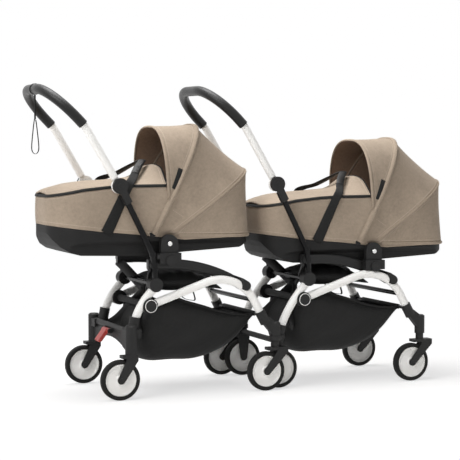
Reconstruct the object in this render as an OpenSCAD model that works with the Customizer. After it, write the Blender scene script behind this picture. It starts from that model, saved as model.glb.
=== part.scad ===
// Twin pram: two compact pushchair frames linked one behind the other, each carrying a hooded carrycot.
// Millimetres, +Z up, travel toward +X, origin at the bottom centre of the whole object.
// Shapes are drawn in the frame of the rear unit and its right side, then mirrored and repeated.

/* [Layout] */
// Distance between the two frames along the travel direction
frame_pitch = 572.5; // [560:0.5:585]
// Distance between the two cots along the travel direction
cot_pitch = 778; // [765:0.5:800]
// How much lower the front cot sits than the rear cot
lead_drop = 47; // [40:0.5:52]

/* [Wheels] */
// Radius of a tyre
wheel_r = 68; // [62:0.5:72]
// Width of a tyre
wheel_w = 24; // [20:0.5:26]
// Radius of the white wheel disc under the tyre
disc_r = 54; // [48:0.5:56]
// Radius of an axle pin
axle_r = 4; // [3:0.25:5]
// Horizontal distance from a swivel axis back to its wheel axle
trail = 36; // [30:0.5:40]
// Radius of a swivel stem
stem_r = 9; // [7:0.25:11]

/* [Frame tubes] */
// Outer radius of the white frame tubes
tube_r = 14; // [12.5:0.25:14.5]
// Outer radius of the black lower tubes
lower_r = 10; // [8:0.25:11]
// Length of the straight rear run of an arch tube
arch_run = 214; // [208:0.5:220]
// Bend radius of an arch tube
arch_bend = 140; // [132:0.5:146]
// Length of the straight front run of an arch tube
arch_end_run = 72; // [66:0.5:78]
// Radius of a pivot hub
hub_r = 26; // [24:0.25:29]
// Height of the armrest bar
armrest_h = 36; // [30:0.5:38]
// Thickness of the armrest bar
armrest_t = 20; // [16:0.5:21]
// Radius of the cross tubes
cross_r = 8; // [6:0.25:9]

/* [Handles] */
// Outer radius of a white handle tube
handle_r = 13; // [11:0.25:13.5]
// Outer radius of a handle grip
grip_r = 17; // [15.5:0.25:19]
// Length of a handle tube from its hinge to the grip
handle_l = 229; // [222:0.5:240]
// Length of a grip from its end to the middle of its bow
grip_l = 168; // [162:0.5:178]
// Bend radius of a grip at its two corners
grip_bend = 138; // [110:0.5:145]
// Radius of a handle hinge disc
knuckle_r = 26; // [23:0.25:27]
// Radius of a handle hinge pin
pin_r = 6; // [4.5:0.25:7]
// Radius of a release button
button_r = 9; // [7.5:0.25:11]

/* [Cots] */
// Width of a cot over its walls
cot_w = 332; // [324:0.5:340]
// Length of a cot over its walls
cot_l = 725; // [712:0.5:738]
// Corner radius of a cot in plan
corner_r = 120; // [105:0.5:130]
// Thickness of the cot's padded walls
wall_t = 8; // [5:0.25:10]
// Height of the cot's inside floor above the ground
floor_z = 498; // [497:0.5:504]
// Thickness of the mattress at its edge
mattress_t = 26; // [18:0.5:32]
// Height of the middle of the cot's rim above the ground
rim_z = 714; // [706:0.5:720]
// Thickness of the apron over the cot
apron_t = 4; // [3:0.25:5]

/* [Hoods] */
// Height of the hood's top above the ground
hood_z = 920; // [905:0.5:926]
// Thickness of the hood's panels
hood_t = 3; // [2:0.25:3.5]
// Radius of the pin that the hood turns on
hood_pin_r = 4; // [3:0.25:5]

/* [Baskets] */
// Width of a basket
basket_w = 276; // [250:1:280]
// Height of the basket's bottom above the ground
basket_z = 108; // [100:1:125]
// Thickness of the basket's cloth
basket_t = 3; // [2:0.25:4]

/* [Hidden] */
$fn = 64;

// Fits
run_fit = 0.05;
seat_fit = 0.05;
peg_fit = 0.3;

// Colours as the photo shows them
white = "#E9E8E4";
black = "#2A2A28";
taupe = "#A08F7C";
shade = "#5A4A3C";
red = "#B0403A";
cream = "#E4DFD4";

// Planes across the width, all set by the cot
cot_y = cot_w / 2;
leg_y = cot_y - 6;
armrest_y = cot_y - 6;
lower_y = cot_y + 11 + lower_r;
knuckle_y0 = cot_y + 10.5;
knuckle_y1 = cot_y + 23.5;
handle_y = (knuckle_y0 + knuckle_y1) / 2;
hinge_y0 = knuckle_y1 + 0.5;
hinge_y1 = hinge_y0 + 13;
wheel_y = cot_y + 34;
lead_wheel_y = leg_y;

// Frame hub and arch tube
hub_x = 43;
hub_z = 308;
hub_y0 = leg_y - tube_r - 4;
hub_y1 = leg_y + tube_r + 4;
arch_rise = 20;
arch_fall = 62;
arch_start = 12;
arch_turn = arch_rise + arch_fall;
arch_dx = arch_run * cos(arch_rise) + arch_bend * (sin(arch_rise) + sin(arch_fall))
    + arch_end_run * cos(arch_fall);
arch_dz = arch_run * sin(arch_rise) + arch_bend * (cos(arch_fall) - cos(arch_rise))
    - arch_end_run * sin(arch_fall);
arch_yaw = asin((wheel_y - leg_y) / arch_dx);
arch_end_x = hub_x + arch_dx * cos(arch_yaw);
arch_end_z = hub_z + arch_dz;
ferrule_r = tube_r + 4;

// Wheels, swivels and forks
tyre_gap = 1.5;
arm_t = 4.5;
arm_y0 = wheel_w / 2 + tyre_gap;
arm_y1 = arm_y0 + arm_t;
crown_z = 2 * wheel_r + 4;
crown_t = 10;
post_z0 = crown_z + crown_t + 21;
post_z1 = arch_end_z - 18;
post_r = 18;
caster_x = arch_end_x + 46;
front_x = caster_x - trail;
main_rear_x = -74;
rear_post_x = -35;
rear_post_r = 20;
rear_beam_z = 225;
rear_post_z1 = 245;
lead_rear_x = -48;

// Rear legs: top end, bottom end and bend radius
leg_top = [60, 363];
main_leg_end = [-13, 238];
lead_leg_end = [lead_rear_x, 186];
main_leg_bend = 230;
lead_leg_bend = 420;
leg_top_hub = [64, 378];
leg_top_r = 24;

// Lower tubes and handle hinge
hinge_x = -69;
hinge_z = 714;
lower_knee = [49, -lower_y, 481];
lower_foot = [66, -leg_y - 6, 394];
lower_dir = (lower_knee - [hinge_x, -lower_y, hinge_z]) / norm(lower_knee - [hinge_x, -lower_y, hinge_z]);
lower_heading = atan2(lower_dir[2], lower_dir[0]);
lower_start = knuckle_r + 3;
handle_heading = 120.7;
grip_heading = 134.5;
handle_bend = 60;
handle_turn = grip_heading - handle_heading;
grip_in = 24;
grip_start = 2;
strap_t = 2;
grip_x = hinge_x + (handle_l - handle_bend * tan(handle_turn / 2)) * cos(handle_heading)
    + handle_bend * (sin(grip_heading) - sin(handle_heading));
grip_z = hinge_z + (handle_l - handle_bend * tan(handle_turn / 2)) * sin(handle_heading)
    - handle_bend * (cos(grip_heading) - cos(handle_heading));
grip_apex_x = grip_x + grip_l * cos(grip_heading);
grip_apex_z = grip_z + grip_l * sin(grip_heading);

// Armrest
armrest_x0 = 38;
armrest_x1 = 100;
armrest_z = 447;
function lower_at(z) = lower_knee
    + (lower_knee[2] - z) / (lower_knee[2] - lower_foot[2]) * (lower_foot - lower_knee);
armrest_peg_x = hub_x + (arch_run * cos(arch_rise) + arch_bend * (sin(arch_rise) + sin(38))) * cos(arch_yaw);
armrest_peg_z = hub_z + arch_run * sin(arch_rise) + arch_bend * (cos(38) - cos(arch_rise));
armrest_peg_y = leg_y + (armrest_peg_x - hub_x) * tan(arch_yaw) - tube_r / cos(arch_yaw) - 0.3;
armrest_end = [armrest_peg_x + 4.3, armrest_peg_z + 6.5];
armrest_turn = 2 * atan2(armrest_z - armrest_end[1], armrest_end[0] - armrest_x1);
armrest_bend = (armrest_end[0] - armrest_x1) / sin(armrest_turn);
function armrest_mid(x) = armrest_z
    - (x > armrest_x1 ? armrest_bend - sqrt(pow(armrest_bend, 2) - pow(x - armrest_x1, 2)) : 0);

// Cot
cot_x0 = -285;
cot_x1 = cot_x0 + cot_l;
cot_mid_x = (cot_x0 + cot_x1) / 2;
tub_t = 4;
bilge_y = armrest_y - armrest_t / 2 - 2.5;
bilge_z = armrest_z + armrest_h / 2 + lead_drop + 0.5;
tub_top = [[cot_x0 - 5, 582], [-134, 562], [12, 548], [171, 528], [cot_x1 + 5, 536]];
tub_low = [
    [cot_x1 + 5, 532], [cot_x1 - 20, 512], [cot_x1 - 60, 497], [177, 486], [40, 474], [-63, 478],
    [-190, 482], [-225, 492], [-255, 510], [-275, 536], [cot_x0 - 5, 566]
];
rim_line = [
    [cot_x0 - 5, rim_z - 34], [-186, rim_z - 12], [-94, rim_z - 3], [-24, rim_z], [107, rim_z],
    [116, 650], [200, 596], [250, 550], [cot_x1 + 5, 550]
];
function rim_at(x) = lookup(x, rim_line);
bracket_x = 109;
bracket_w = 62;
bracket_z0 = 486;
bracket_z1 = 548.2;
bracket_t = 20;
peg_r = 6;
peg_l = 30;
peg_y = cot_y + bracket_t / 2 + 1;
clamp_w = 76;
clamp_y0 = cot_y + 2;
clamp_y1 = cot_y + 31;
lead_clamp_x = bracket_x + cot_pitch - frame_pitch;
nose_r = armrest_h / 2 - 1.4;
nose_x = lead_clamp_x + clamp_w / 2 + 1.5;
nose_y = leg_y + (armrest_end[0] + nose_r - hub_x) * tan(arch_yaw) + tube_r + 3;
armrest_top = armrest_z + armrest_h / 2 + seat_fit;
arch_peak = hub_z + arch_run * sin(arch_rise) + arch_bend * (1 - cos(arch_rise));

// Hood
pivot_x = 55;
pivot_z = 550;
arm_in = cot_y + 1.5;
arm_out = arm_in + 3;
hood_y = cot_y + 7;
bow_n = 2.8;
bow_x = 256;
back_x = cot_x1 + 8;
back_z = hood_z - 154;
fan_x = 122;
rim_x = 102;
rim_base = [113, 664];
share = (rim_base[1] - pivot_z) / (hood_z - pivot_z);
cols = 22;
function round_at(h) = pow(max(0, 1 - pow(h, bow_n)), 1 / bow_n);
function bow_h(j) = pow(abs(sin(180 * j / cols)), 2 / bow_n);
function bow_s(j) = j < cols / 2 ? -1 : j > cols / 2 ? 1 : 0;
function bow_c(j) = bow_s(j) * pow(abs(cos(180 * j / cols)), 2 / bow_n);
function rim_bow(d) = [for (j = [0 : cols])
    [rim_base[0] + (rim_x - rim_base[0]) * bow_h(j), (hood_y * round_at(share) - d) * bow_c(j),
        rim_base[1] + (hood_z - 6 - d - rim_base[1]) * bow_h(j)]];
function top_bow(d) = [for (j = [0 : cols]) let (h = share + (1 - share) * bow_h(j))
    [pivot_x + (bow_x - pivot_x) * h, (hood_y - d) * bow_s(j) * round_at(h), pivot_z + (hood_z - d - pivot_z) * h]];
function behind(h) = lookup(h, [[0, 11], [0.42, 11], [0.56, 1.6], [1, 1.6]]);
function front_bow(d) = [for (j = [0 : cols])
    [pivot_x + (bow_x - pivot_x) * bow_h(j) + behind(bow_h(j)), (hood_y - d) * bow_c(j), pivot_z + (hood_z - d - pivot_z) * bow_h(j)]];
function fan_bow(d) = [for (j = [0 : cols])
    [fan_x + (back_x - d - fan_x) * bow_h(j), (hood_y - d) * bow_c(j), pivot_z + (back_z - d - pivot_z) * bow_h(j)]];
hem_x = bracket_x + bracket_w / 2 + 6;
hem_off = 6.5;
hem_run = cot_x1 - corner_r - hem_x;
hem_arc = corner_r * PI / 2;
hem_len = hem_run + hem_arc + cot_y - corner_r;
function hem_at(s) = s < hem_run ? [hem_x + s, cot_y]
    : s < hem_run + hem_arc ? [cot_x1 - corner_r + corner_r * sin((s - hem_run) / corner_r * 180 / PI),
        cot_y - corner_r + corner_r * cos((s - hem_run) / corner_r * 180 / PI)]
    : [cot_x1, cot_y - corner_r - (s - hem_run - hem_arc)];
function hem_bow(d) = [for (j = [0 : cols]) let (k = j < cols / 2 ? j : cols - j, p = hem_at(hem_len * k * 2 / cols),
    n = [max(0, p[0] - cot_x1 + corner_r), max(0.001, p[1] - cot_y + corner_r)])
    [p[0] + n[0] / norm(n) * (hem_off - d), bow_s(j) * (p[1] + n[1] / norm(n) * (hem_off - d)),
        pivot_z - 8 - 8 * k * 2 / cols]];

// Overall middle along the travel direction
x_mid = (grip_apex_x - grip_r - strap_t + cot_pitch + back_x) / 2;

// Placing
module at_main() {
    translate([-x_mid, 0, 0]) children();
}

module at_lead() {
    translate([frame_pitch - x_mid, 0, 0]) children();
}

module at_lead_cot() {
    translate([cot_pitch - x_mid, 0, -lead_drop]) children();
}

module both_frames() {
    at_main() children();
    at_lead() children();
}

module left_side() {
    mirror([0, 1, 0]) children();
}

module both_sides() {
    children();
    left_side() children();
}

// Straight rod between two points
module rod(p, q, r) {
    d = q - p;
    h = norm(d);
    translate(p) rotate([0, acos(d[2] / h), atan2(d[1], d[0])]) cylinder(r = r, h = h);
}

// Bar along +X, turned about its own axis by a spin
module bar(r, l, spin = 0) {
    rotate([0, 90, 0]) rotate([0, 0, spin]) cylinder(r = r, h = l);
}

// Core inside the meeting of two tube runs
module core(r) {
    translate([-4, 0, 0]) bar(r - 3, 8);
}

// Bend in the XZ plane that starts along +X; a positive turn goes up
module bend(big, turn, r) {
    if (turn > 0) {
        translate([0, 0, big]) rotate([90, 0, 0]) rotate([0, 0, -90])
            rotate_extrude(angle = turn) translate([big, 0]) circle(r = r);
    } else {
        translate([0, 0, -big]) rotate([90, 0, 0]) rotate([0, 0, 90 + turn])
            rotate_extrude(angle = -turn) translate([big, 0]) circle(r = r);
    }
}

// Frame at the far end of a bend
module after_bend(big, turn) {
    translate([big * sin(abs(turn)), 0, sign(turn) * big * (1 - cos(turn))]) rotate([0, -turn, 0]) children();
}

// Disc or pin across the width, from y0 to y1 on the right side
module across(x, z, y0, y1, r) {
    translate([x, -y0, z]) rotate([90, 0, 0]) cylinder(r = r, h = y1 - y0);
}

// Flat shape in the XZ plane, from y0 to y1 on the right side
module plate(y0, y1) {
    translate([0, -y0, 0]) rotate([90, 0, 0]) linear_extrude(height = y1 - y0) children();
}

// Closed cloth between an outer and an inner grid of points
module cloth(outer, inner) {
    m = len(outer);
    n = len(outer[0]);
    k = m * n;
    pts = concat([for (row = outer) each row], [for (row = inner) each row]);
    faces = concat(
        [for (i = [0 : m - 2], j = [0 : n - 2]) each [
            [i * n + j, i * n + j + 1, (i + 1) * n + j + 1],
            [i * n + j, (i + 1) * n + j + 1, (i + 1) * n + j],
            [k + i * n + j, k + (i + 1) * n + j + 1, k + i * n + j + 1],
            [k + i * n + j, k + (i + 1) * n + j, k + (i + 1) * n + j + 1]]],
        [for (j = [0 : n - 2]) each [
            [j, k + j + 1, j + 1],
            [j, k + j, k + j + 1],
            [(m - 1) * n + j, (m - 1) * n + j + 1, k + (m - 1) * n + j + 1],
            [(m - 1) * n + j, k + (m - 1) * n + j + 1, k + (m - 1) * n + j]]],
        [for (i = [0 : m - 2]) each [
            [i * n, (i + 1) * n, k + (i + 1) * n],
            [i * n, k + (i + 1) * n, k + i * n],
            [i * n + n - 1, k + (i + 1) * n + n - 1, (i + 1) * n + n - 1],
            [i * n + n - 1, k + i * n + n - 1, k + (i + 1) * n + n - 1]]]);
    polyhedron(points = pts, faces = faces);
}

// Arch tube of the right side, with any radius
module arch_solid(r) {
    translate([hub_x, -leg_y, hub_z]) rotate([0, 0, -arch_yaw]) rotate([0, -arch_rise, 0]) {
        translate([arch_start, 0, 0]) bar(r, arch_run - arch_start);
        translate([arch_run, 0, 0]) {
            bend(arch_bend, -arch_turn, r);
            core(r);
            after_bend(arch_bend, -arch_turn) {
                bar(r, arch_end_run);
                core(r);
            }
        }
    }
}

// Frame at the front end of the right arch tube, +X along the tube
module arch_end() {
    translate([hub_x, -leg_y, hub_z]) rotate([0, 0, -arch_yaw]) rotate([0, -arch_rise, 0])
        translate([arch_run, 0, 0]) after_bend(arch_bend, -arch_turn)
            translate([arch_end_run, 0, 0]) children();
}

// Rear leg of the right side from its top to its end, with any radius
module leg_solid(end, big, r) {
    chord = end - leg_top;
    turn = 2 * asin(norm(chord) / 2 / big);
    heading = atan2(chord[1], chord[0]) - turn / 2;
    translate([leg_top[0], -leg_y, leg_top[1]]) rotate([0, -heading, 0]) bend(big, turn, r);
}

// Sleeve on the lower end of a rear leg
module leg_sleeve(end, big, r, l, more) {
    chord = end - leg_top;
    turn = 2 * asin(norm(chord) / 2 / big);
    heading = atan2(chord[1], chord[0]) + turn / 2;
    translate([end[0], -leg_y, end[1]]) rotate([0, -heading, 0]) translate([-l, 0, 0]) bar(r, l + more);
}

// Lower tube of the right side, with any radius
module lower_solid(r) {
    hinge = [hinge_x, -lower_y, hinge_z];
    rod(hinge + lower_start * lower_dir, lower_knee, r);
    translate(lower_knee) sphere(r = r + 2.5);
    rod(lower_knee, lower_foot, r);
}

// Armrest of the right side: a straight rear run around the lower tube and a long bow
module armrest_shape() {
    flat = armrest_h - armrest_t;
    module outline(thick) {
        square([thick, flat], center = true);
        translate([0, flat / 2]) circle(d = thick);
        translate([0, -flat / 2]) circle(d = thick);
    }
    translate([armrest_x0, -armrest_y, armrest_z]) rotate([90, 0, 90])
        linear_extrude(height = armrest_x1 - armrest_x0) outline(armrest_t);
    translate([armrest_x1, -armrest_y, armrest_z - armrest_bend]) rotate([90, 0, 0])
        rotate([0, 0, 90 - armrest_turn]) rotate_extrude(angle = armrest_turn, $fn = 360)
            translate([armrest_bend, 0]) rotate(90) outline(armrest_t - 1.2);
    translate([armrest_x1 - 6, -armrest_y - 4, armrest_z - 6]) cube([12, 8, 12]);
    across(lower_at(armrest_z)[0], armrest_z, armrest_y, -lower_at(armrest_z)[1] + 4, lower_r + 5);
    across(armrest_peg_x, armrest_peg_z, armrest_y, armrest_peg_y, 7);
    intersection() {
        union() {
            translate([armrest_x1, -armrest_y, armrest_z - armrest_bend]) rotate([90, 0, 0])
                rotate([0, 0, 90 - armrest_turn]) rotate_extrude(angle = armrest_turn / 2, $fn = 360)
                    translate([armrest_bend - nose_r, 0]) square([2 * nose_r, nose_y - armrest_y]);
            across(armrest_end[0], armrest_end[1], armrest_y - armrest_t / 2 + 1, nose_y, nose_r - 0.4);
        }
        translate([0, 0, armrest_end[1] - 60]) linear_extrude(height = 120) polygon([
            [nose_x, -armrest_y], [nose_x, -armrest_y - armrest_t / 2 + 1.5], [nose_x + 14, -nose_y + 1],
            [nose_x + 90, -nose_y + 1], [nose_x + 90, -armrest_y + 6], [nose_x + 20, -armrest_y + 6]]);
    }
}

// Wheel disc about the Y axis
module wheel_disc() {
    h = wheel_w / 2;
    rotate([90, 0, 0]) rotate_extrude() polygon([
        [axle_r + run_fit, -h + 1], [15, -h + 1], [19, -h + 5], [disc_r - 8, -h + 6], [disc_r - 4, -h + 2],
        [disc_r, -h + 2], [disc_r, h - 2], [disc_r - 4, h - 2], [disc_r - 8, h - 6], [19, h - 5],
        [15, h - 1], [axle_r + run_fit, h - 1]]);
}

// Tyre about the Y axis
module wheel_tyre() {
    h = wheel_w / 2;
    e = 6;
    r0 = disc_r + seat_fit;
    rotate([90, 0, 0]) rotate_extrude() {
        translate([r0, -h]) square([wheel_r - e - r0, 2 * h]);
        translate([r0, -h + e]) square([wheel_r - r0, 2 * h - 2 * e]);
        translate([wheel_r - e, h - e]) circle(r = e);
        translate([wheel_r - e, -h + e]) circle(r = e);
    }
}

// Outline of a fork arm in the XZ plane, from the axle at the origin up to its crown
module arm_outline(reach) {
    top = crown_z + crown_t - wheel_r;
    circle(r = axle_r + 9);
    polygon([[-12.8, 3], [reach - 40, top - crown_t - 4], [reach - 44, top], [reach, top], [reach, top - 18], [11, -7]]);
}

// Two fork arms, crown and axle pin of the right side about the axle at x
module fork_shape(x, reach) {
    translate([x, -wheel_y, wheel_r]) {
        plate(arm_y0, arm_y1) arm_outline(reach);
        plate(-arm_y1, -arm_y0) arm_outline(reach);
        across(0, 0, -arm_y1 - 2, arm_y1 + 2, axle_r);
        across(0, 0, arm_y1, arm_y1 + 2, axle_r + 4);
        across(0, 0, -arm_y1 - 2, -arm_y1, axle_r + 4);
    }
    translate([x + 4, -wheel_y - arm_y1, crown_z]) cube([reach - 4, 2 * arm_y1, crown_t]);
}

// Front fork of the right side with its swivel stem
module front_fork() {
    color(black) {
        fork_shape(front_x, trail + 42);
        translate([caster_x, -wheel_y, crown_z + crown_t]) cylinder(r = stem_r + 5, h = post_z0 - crown_z - crown_t - 0.5);
        translate([caster_x, -wheel_y, crown_z + crown_t]) cylinder(r = stem_r, h = post_z0 - crown_z - crown_t + 44);
    }
}

// Hand side of a wheel
module wheel_at(x, y) {
    translate([x, -y, wheel_r]) children();
}

module arch_tubes() {
    color(white) both_frames() both_sides() arch_solid(tube_r);
}

module rear_legs() {
    color(white) {
        at_main() both_sides() leg_solid(main_leg_end, main_leg_bend, tube_r);
        at_lead() both_sides() leg_solid(lead_leg_end, lead_leg_bend, tube_r);
    }
}

// Pivot hub and top hub of one rear leg
module leg_hubs(end, big) {
    difference() {
        union() {
            across(hub_x, hub_z, hub_y0, hub_y1, hub_r);
            across(hub_x, hub_z, hub_y1, hub_y1 + 5, hub_r - 2);
            across(leg_top_hub[0], leg_top_hub[1], hub_y0, hub_y1, leg_top_r);
        }
        leg_solid(end, big, tube_r + seat_fit);
        arch_solid(tube_r + seat_fit);
        lower_solid(lower_r + seat_fit);
        across(hub_x, hub_z, 0, hub_y0 + 3, cross_r + 1 + seat_fit);
        across(leg_top_hub[0], leg_top_hub[1], 0, hub_y0 + 3, cross_r + seat_fit);
    }
}

module frame_hubs() {
    color(black) {
        at_main() both_sides() leg_hubs(main_leg_end, main_leg_bend);
        at_lead() both_sides() leg_hubs(lead_leg_end, lead_leg_bend);
    }
}

module front_ferrules() {
    color(black) both_frames() both_sides() difference() {
        union() {
            arch_end() translate([-28, 0, 0]) bar(ferrule_r, 46, 40);
            translate([caster_x, -wheel_y, 0]) rotate_extrude() polygon([
                [0, post_z0], [post_r, post_z0], [post_r, post_z1], [post_r - 5, post_z1 + 4], [0, post_z1 + 4]]);
            plate(wheel_y - 12, wheel_y + 12) polygon([
                [arch_end_x - 6, arch_end_z - 12], [arch_end_x + 12, arch_end_z + 8],
                [caster_x + 6, post_z1 - 3], [caster_x + 6, post_z1 - 44],
                [caster_x - 10, post_z1 - 44], [arch_end_x + 6, arch_end_z - 26]]);
        }
        arch_end() translate([-60, 0, 0]) bar(tube_r + seat_fit, 60, 75);
        translate([caster_x, -wheel_y, post_z0 - 1]) cylinder(r = stem_r + run_fit, h = 46);
    }
}

// Rear axle of the rear unit: beam, posts and forks
module main_axle() {
    both_sides() difference() {
        union() {
            fork_shape(main_rear_x, rear_post_x - main_rear_x + rear_post_r);
            translate([rear_post_x, -wheel_y, crown_z + crown_t / 2])
                cylinder(r = rear_post_r, h = rear_post_z1 - crown_z - crown_t / 2);
            translate([rear_post_x, -wheel_y, rear_post_z1]) cylinder(r1 = rear_post_r, r2 = rear_post_r - 5, h = 5);
            leg_sleeve(main_leg_end, main_leg_bend, ferrule_r, 34, 12);
            translate([rear_post_x - 15, -wheel_y, main_leg_end[1] - 32])
                cube([main_leg_end[0] - rear_post_x + 30, wheel_y - leg_y + 14, 28]);
        }
        leg_solid(main_leg_end, main_leg_bend, tube_r + seat_fit);
    }
    across(rear_post_x, rear_beam_z, -wheel_y, wheel_y, 11);
    translate([rear_post_x + 5, 0, 0]) rotate([90, 0, -90]) linear_extrude(height = 10) difference() {
        translate([-wheel_y, 150]) square([2 * wheel_y, rear_beam_z - 150]);
        translate([0, -235]) circle(r = 425);
    }
    both_sides() plate(32, 37) polygon([[-34, 232], [-34, 214], [-50, 204], [-61, 206], [-61, 218], [-50, 222]]);
    across(-54, 212, -37, 37, axle_r);
}

// Rear axle of the front unit: bar, feet and one-sided forks
module lead_axle() {
    both_sides() difference() {
        union() {
            translate([lead_rear_x, -leg_y, crown_z + 9]) cylinder(r = ferrule_r, h = lead_leg_end[1] + 9 - crown_z - 9);
            leg_sleeve(lead_leg_end, lead_leg_bend, ferrule_r, 36, 0);
            translate([lead_rear_x - 22, -leg_y - arm_y0, crown_z]) cube([44, arm_y0 + arm_y1, 20]);
            translate([lead_rear_x, -leg_y, wheel_r]) {
                plate(-arm_y1, -arm_y0) {
                    circle(r = axle_r + 9);
                    polygon([[-13, 0], [-22, crown_z - wheel_r], [22, crown_z - wheel_r], [13, 0]]);
                }
                across(0, 0, -arm_y1 - 2, arm_y0, axle_r);
                across(0, 0, -arm_y1 - 2, -arm_y1, axle_r + 4);
                across(0, 0, wheel_w / 2, arm_y0, axle_r + 3);
            }
        }
        leg_solid(lead_leg_end, lead_leg_bend, tube_r + seat_fit);
    }
    across(lead_rear_x, crown_z + 22, -leg_y + ferrule_r - 3, leg_y - ferrule_r + 3, 10);
}

module rear_axles() {
    color(black) {
        at_main() main_axle();
        at_lead() lead_axle();
    }
}

module lower_tubes() {
    color(black) both_frames() both_sides() lower_solid(lower_r);
}

// Outer half of a handle hinge, with its pin
module hinge_half() {
    difference() {
        union() {
            across(hinge_x, hinge_z, hinge_y0, hinge_y1, knuckle_r);
            across(hinge_x, hinge_z, knuckle_y0 - 2, hinge_y0 + 1, pin_r);
            across(hinge_x, hinge_z, knuckle_y0 - 4, knuckle_y0 - 0.5, pin_r + 4);
            translate([hinge_x, -hinge_y1, hinge_z]) rotate([0, -lower_heading, 0])
                translate([0, 0, -12]) cube([64, hinge_y1 - hinge_y0, 24]);
            translate([hinge_x, -lower_y, hinge_z]) rotate([0, -lower_heading, 0])
                translate([lower_start, 0, 0]) bar(lower_r + 4, 38);
        }
        lower_solid(lower_r + seat_fit);
        across(hinge_x, hinge_z, hinge_y1 - 9, hinge_y1 + 1, button_r + run_fit);
    }
}

module handle_hubs() {
    color(black) both_frames() {
        both_sides() hinge_half();
        across(hinge_x, hinge_z, hinge_y1 - 9, hinge_y1 + 2, button_r);
    }
}

module armrests() {
    color(black) both_frames() both_sides() difference() {
        armrest_shape();
        rod(lower_knee, lower_foot, lower_r + seat_fit);
        arch_solid(tube_r + 0.3);
    }
}

// Clamp on the armrest at x that carries a cot bracket whose foot is at z
module clamp(x, z) {
    low = max(armrest_mid(x) + 4, arch_peak + tube_r + 1.5);
    difference() {
        union() {
            translate([x - clamp_w / 2, -clamp_y1, low]) cube([clamp_w, clamp_y1 - clamp_y0, z - 0.1 - low]);
            across(x, low + 10, clamp_y1 - 2, clamp_y1 + 6, 17);
            translate([x, -peg_y, z - 1]) cylinder(r = peg_r, h = peg_l + 1);
        }
        plate(0, armrest_y + armrest_t / 2 + seat_fit) {
            translate([armrest_x0 - 40, low - 80]) square([armrest_x1 - armrest_x0 + 40, armrest_top - low + 80]);
            translate([armrest_x1, armrest_z - armrest_bend])
                circle(r = armrest_bend + armrest_h / 2 + seat_fit, $fn = 720);
        }
    }
}

module cot_clamps() {
    color(black) {
        at_main() both_sides() clamp(bracket_x, bracket_z0);
        at_lead() both_sides() clamp(lead_clamp_x, bracket_z0 - lead_drop);
    }
}

// Front seat bar, where an arch tube's bend ends
seat_bar_x = hub_x + (arch_run * cos(arch_rise) + arch_bend * (sin(arch_rise) + sin(arch_fall))) * cos(arch_yaw);
seat_bar_z = hub_z + arch_run * sin(arch_rise) + arch_bend * (cos(arch_fall) - cos(arch_rise));
basket_bar_x = arch_end_x - 12 * cos(arch_fall);
basket_bar_z = arch_end_z + 12 * sin(arch_fall);
basket_bar_r = 6;

module cross_tubes() {
    color(black) both_frames() {
        across(hub_x, hub_z, -hub_y0 - 3, hub_y0 + 3, cross_r + 1);
        across(leg_top_hub[0], leg_top_hub[1], -hub_y0 - 3, hub_y0 + 3, cross_r);
        difference() {
            across(seat_bar_x, seat_bar_z, -wheel_y, wheel_y, cross_r);
            both_sides() arch_solid(tube_r + seat_fit);
            both_sides() across(seat_bar_x, seat_bar_z, wheel_y - 6, wheel_y + 20, 30);
        }
        difference() {
            across(basket_bar_x, basket_bar_z, -wheel_y, wheel_y, basket_bar_r);
            both_sides() arch_end() translate([-40, 0, 0]) bar(ferrule_r + seat_fit, 60);
            both_sides() across(basket_bar_x, basket_bar_z, wheel_y - 4, wheel_y + 20, 30);
        }
    }
}

module link_arms() {
    link_x = frame_pitch + lead_rear_x;
    color(black) at_main() both_sides() difference() {
        translate([0, 0, post_z0 + 3]) linear_extrude(height = 14) difference() {
            union() {
                translate([caster_x, -wheel_y]) circle(r = post_r + 4);
                translate([link_x, -leg_y]) circle(r = ferrule_r + 4);
                polygon([[caster_x - 10, -wheel_y + 14], [caster_x + 10, -wheel_y - 14],
                    [link_x + 10, -leg_y - 14], [link_x - 10, -leg_y + 14]]);
            }
            translate([caster_x, -wheel_y]) circle(r = post_r + seat_fit);
            translate([link_x, -leg_y]) circle(r = ferrule_r + seat_fit);
        }
        translate([frame_pitch, 0, 0]) leg_sleeve(lead_leg_end, lead_leg_bend, ferrule_r + 0.3, 36, 0.3);
    }
}

// Seat cloth slung between the rear and the front seat bar
module seat_sling() {
    sling_t = 2.5;
    a = leg_top_hub + [0, cross_r + sling_t / 2 + seat_fit];
    b = [seat_bar_x, seat_bar_z + cross_r + sling_t / 2 + seat_fit];
    line = [for (i = [0 : 12]) let (s = i / 12) a + (b - a) * s + [0, 190 * s * (1 - s) * (1 - 0.1 * s)]];
    up = [for (p = line) p + [0, sling_t / 2]];
    down = [for (i = [12 : -1 : 0]) line[i] - [0, sling_t / 2]];
    plate(-hub_y0 + 12, hub_y0 - 12) difference() {
        union() {
            polygon(concat(up, down));
            translate(leg_top_hub) circle(r = cross_r + sling_t + seat_fit);
            translate([seat_bar_x, seat_bar_z]) circle(r = cross_r + sling_t + seat_fit);
        }
        translate(leg_top_hub) circle(r = cross_r + seat_fit);
        translate([seat_bar_x, seat_bar_z]) circle(r = cross_r + seat_fit);
    }
}

module seat_slings() {
    color(shade) both_frames() seat_sling();
}

// Side outline of a basket, drawn in by a gap
module basket_outline(gap, lid) {
    polygon([
        [hub_x - 4 + gap, hub_z + lid], [14 + gap, 238], [10 + gap, 160], [26 + gap, 128 + gap],
        [60 + gap / 2, basket_z + 4 + gap], [120, basket_z + gap], [235, basket_z + gap], [320, 136 + gap],
        [384, 186 + gap], [basket_bar_x - gap, basket_bar_z - 8 + gap], [basket_bar_x - gap, basket_bar_z + lid],
        [310, 270 + lid], [253, 286 + lid], [180, 308 + lid], [122, 322 + lid], [80, 318 + lid]]);
}

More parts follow.
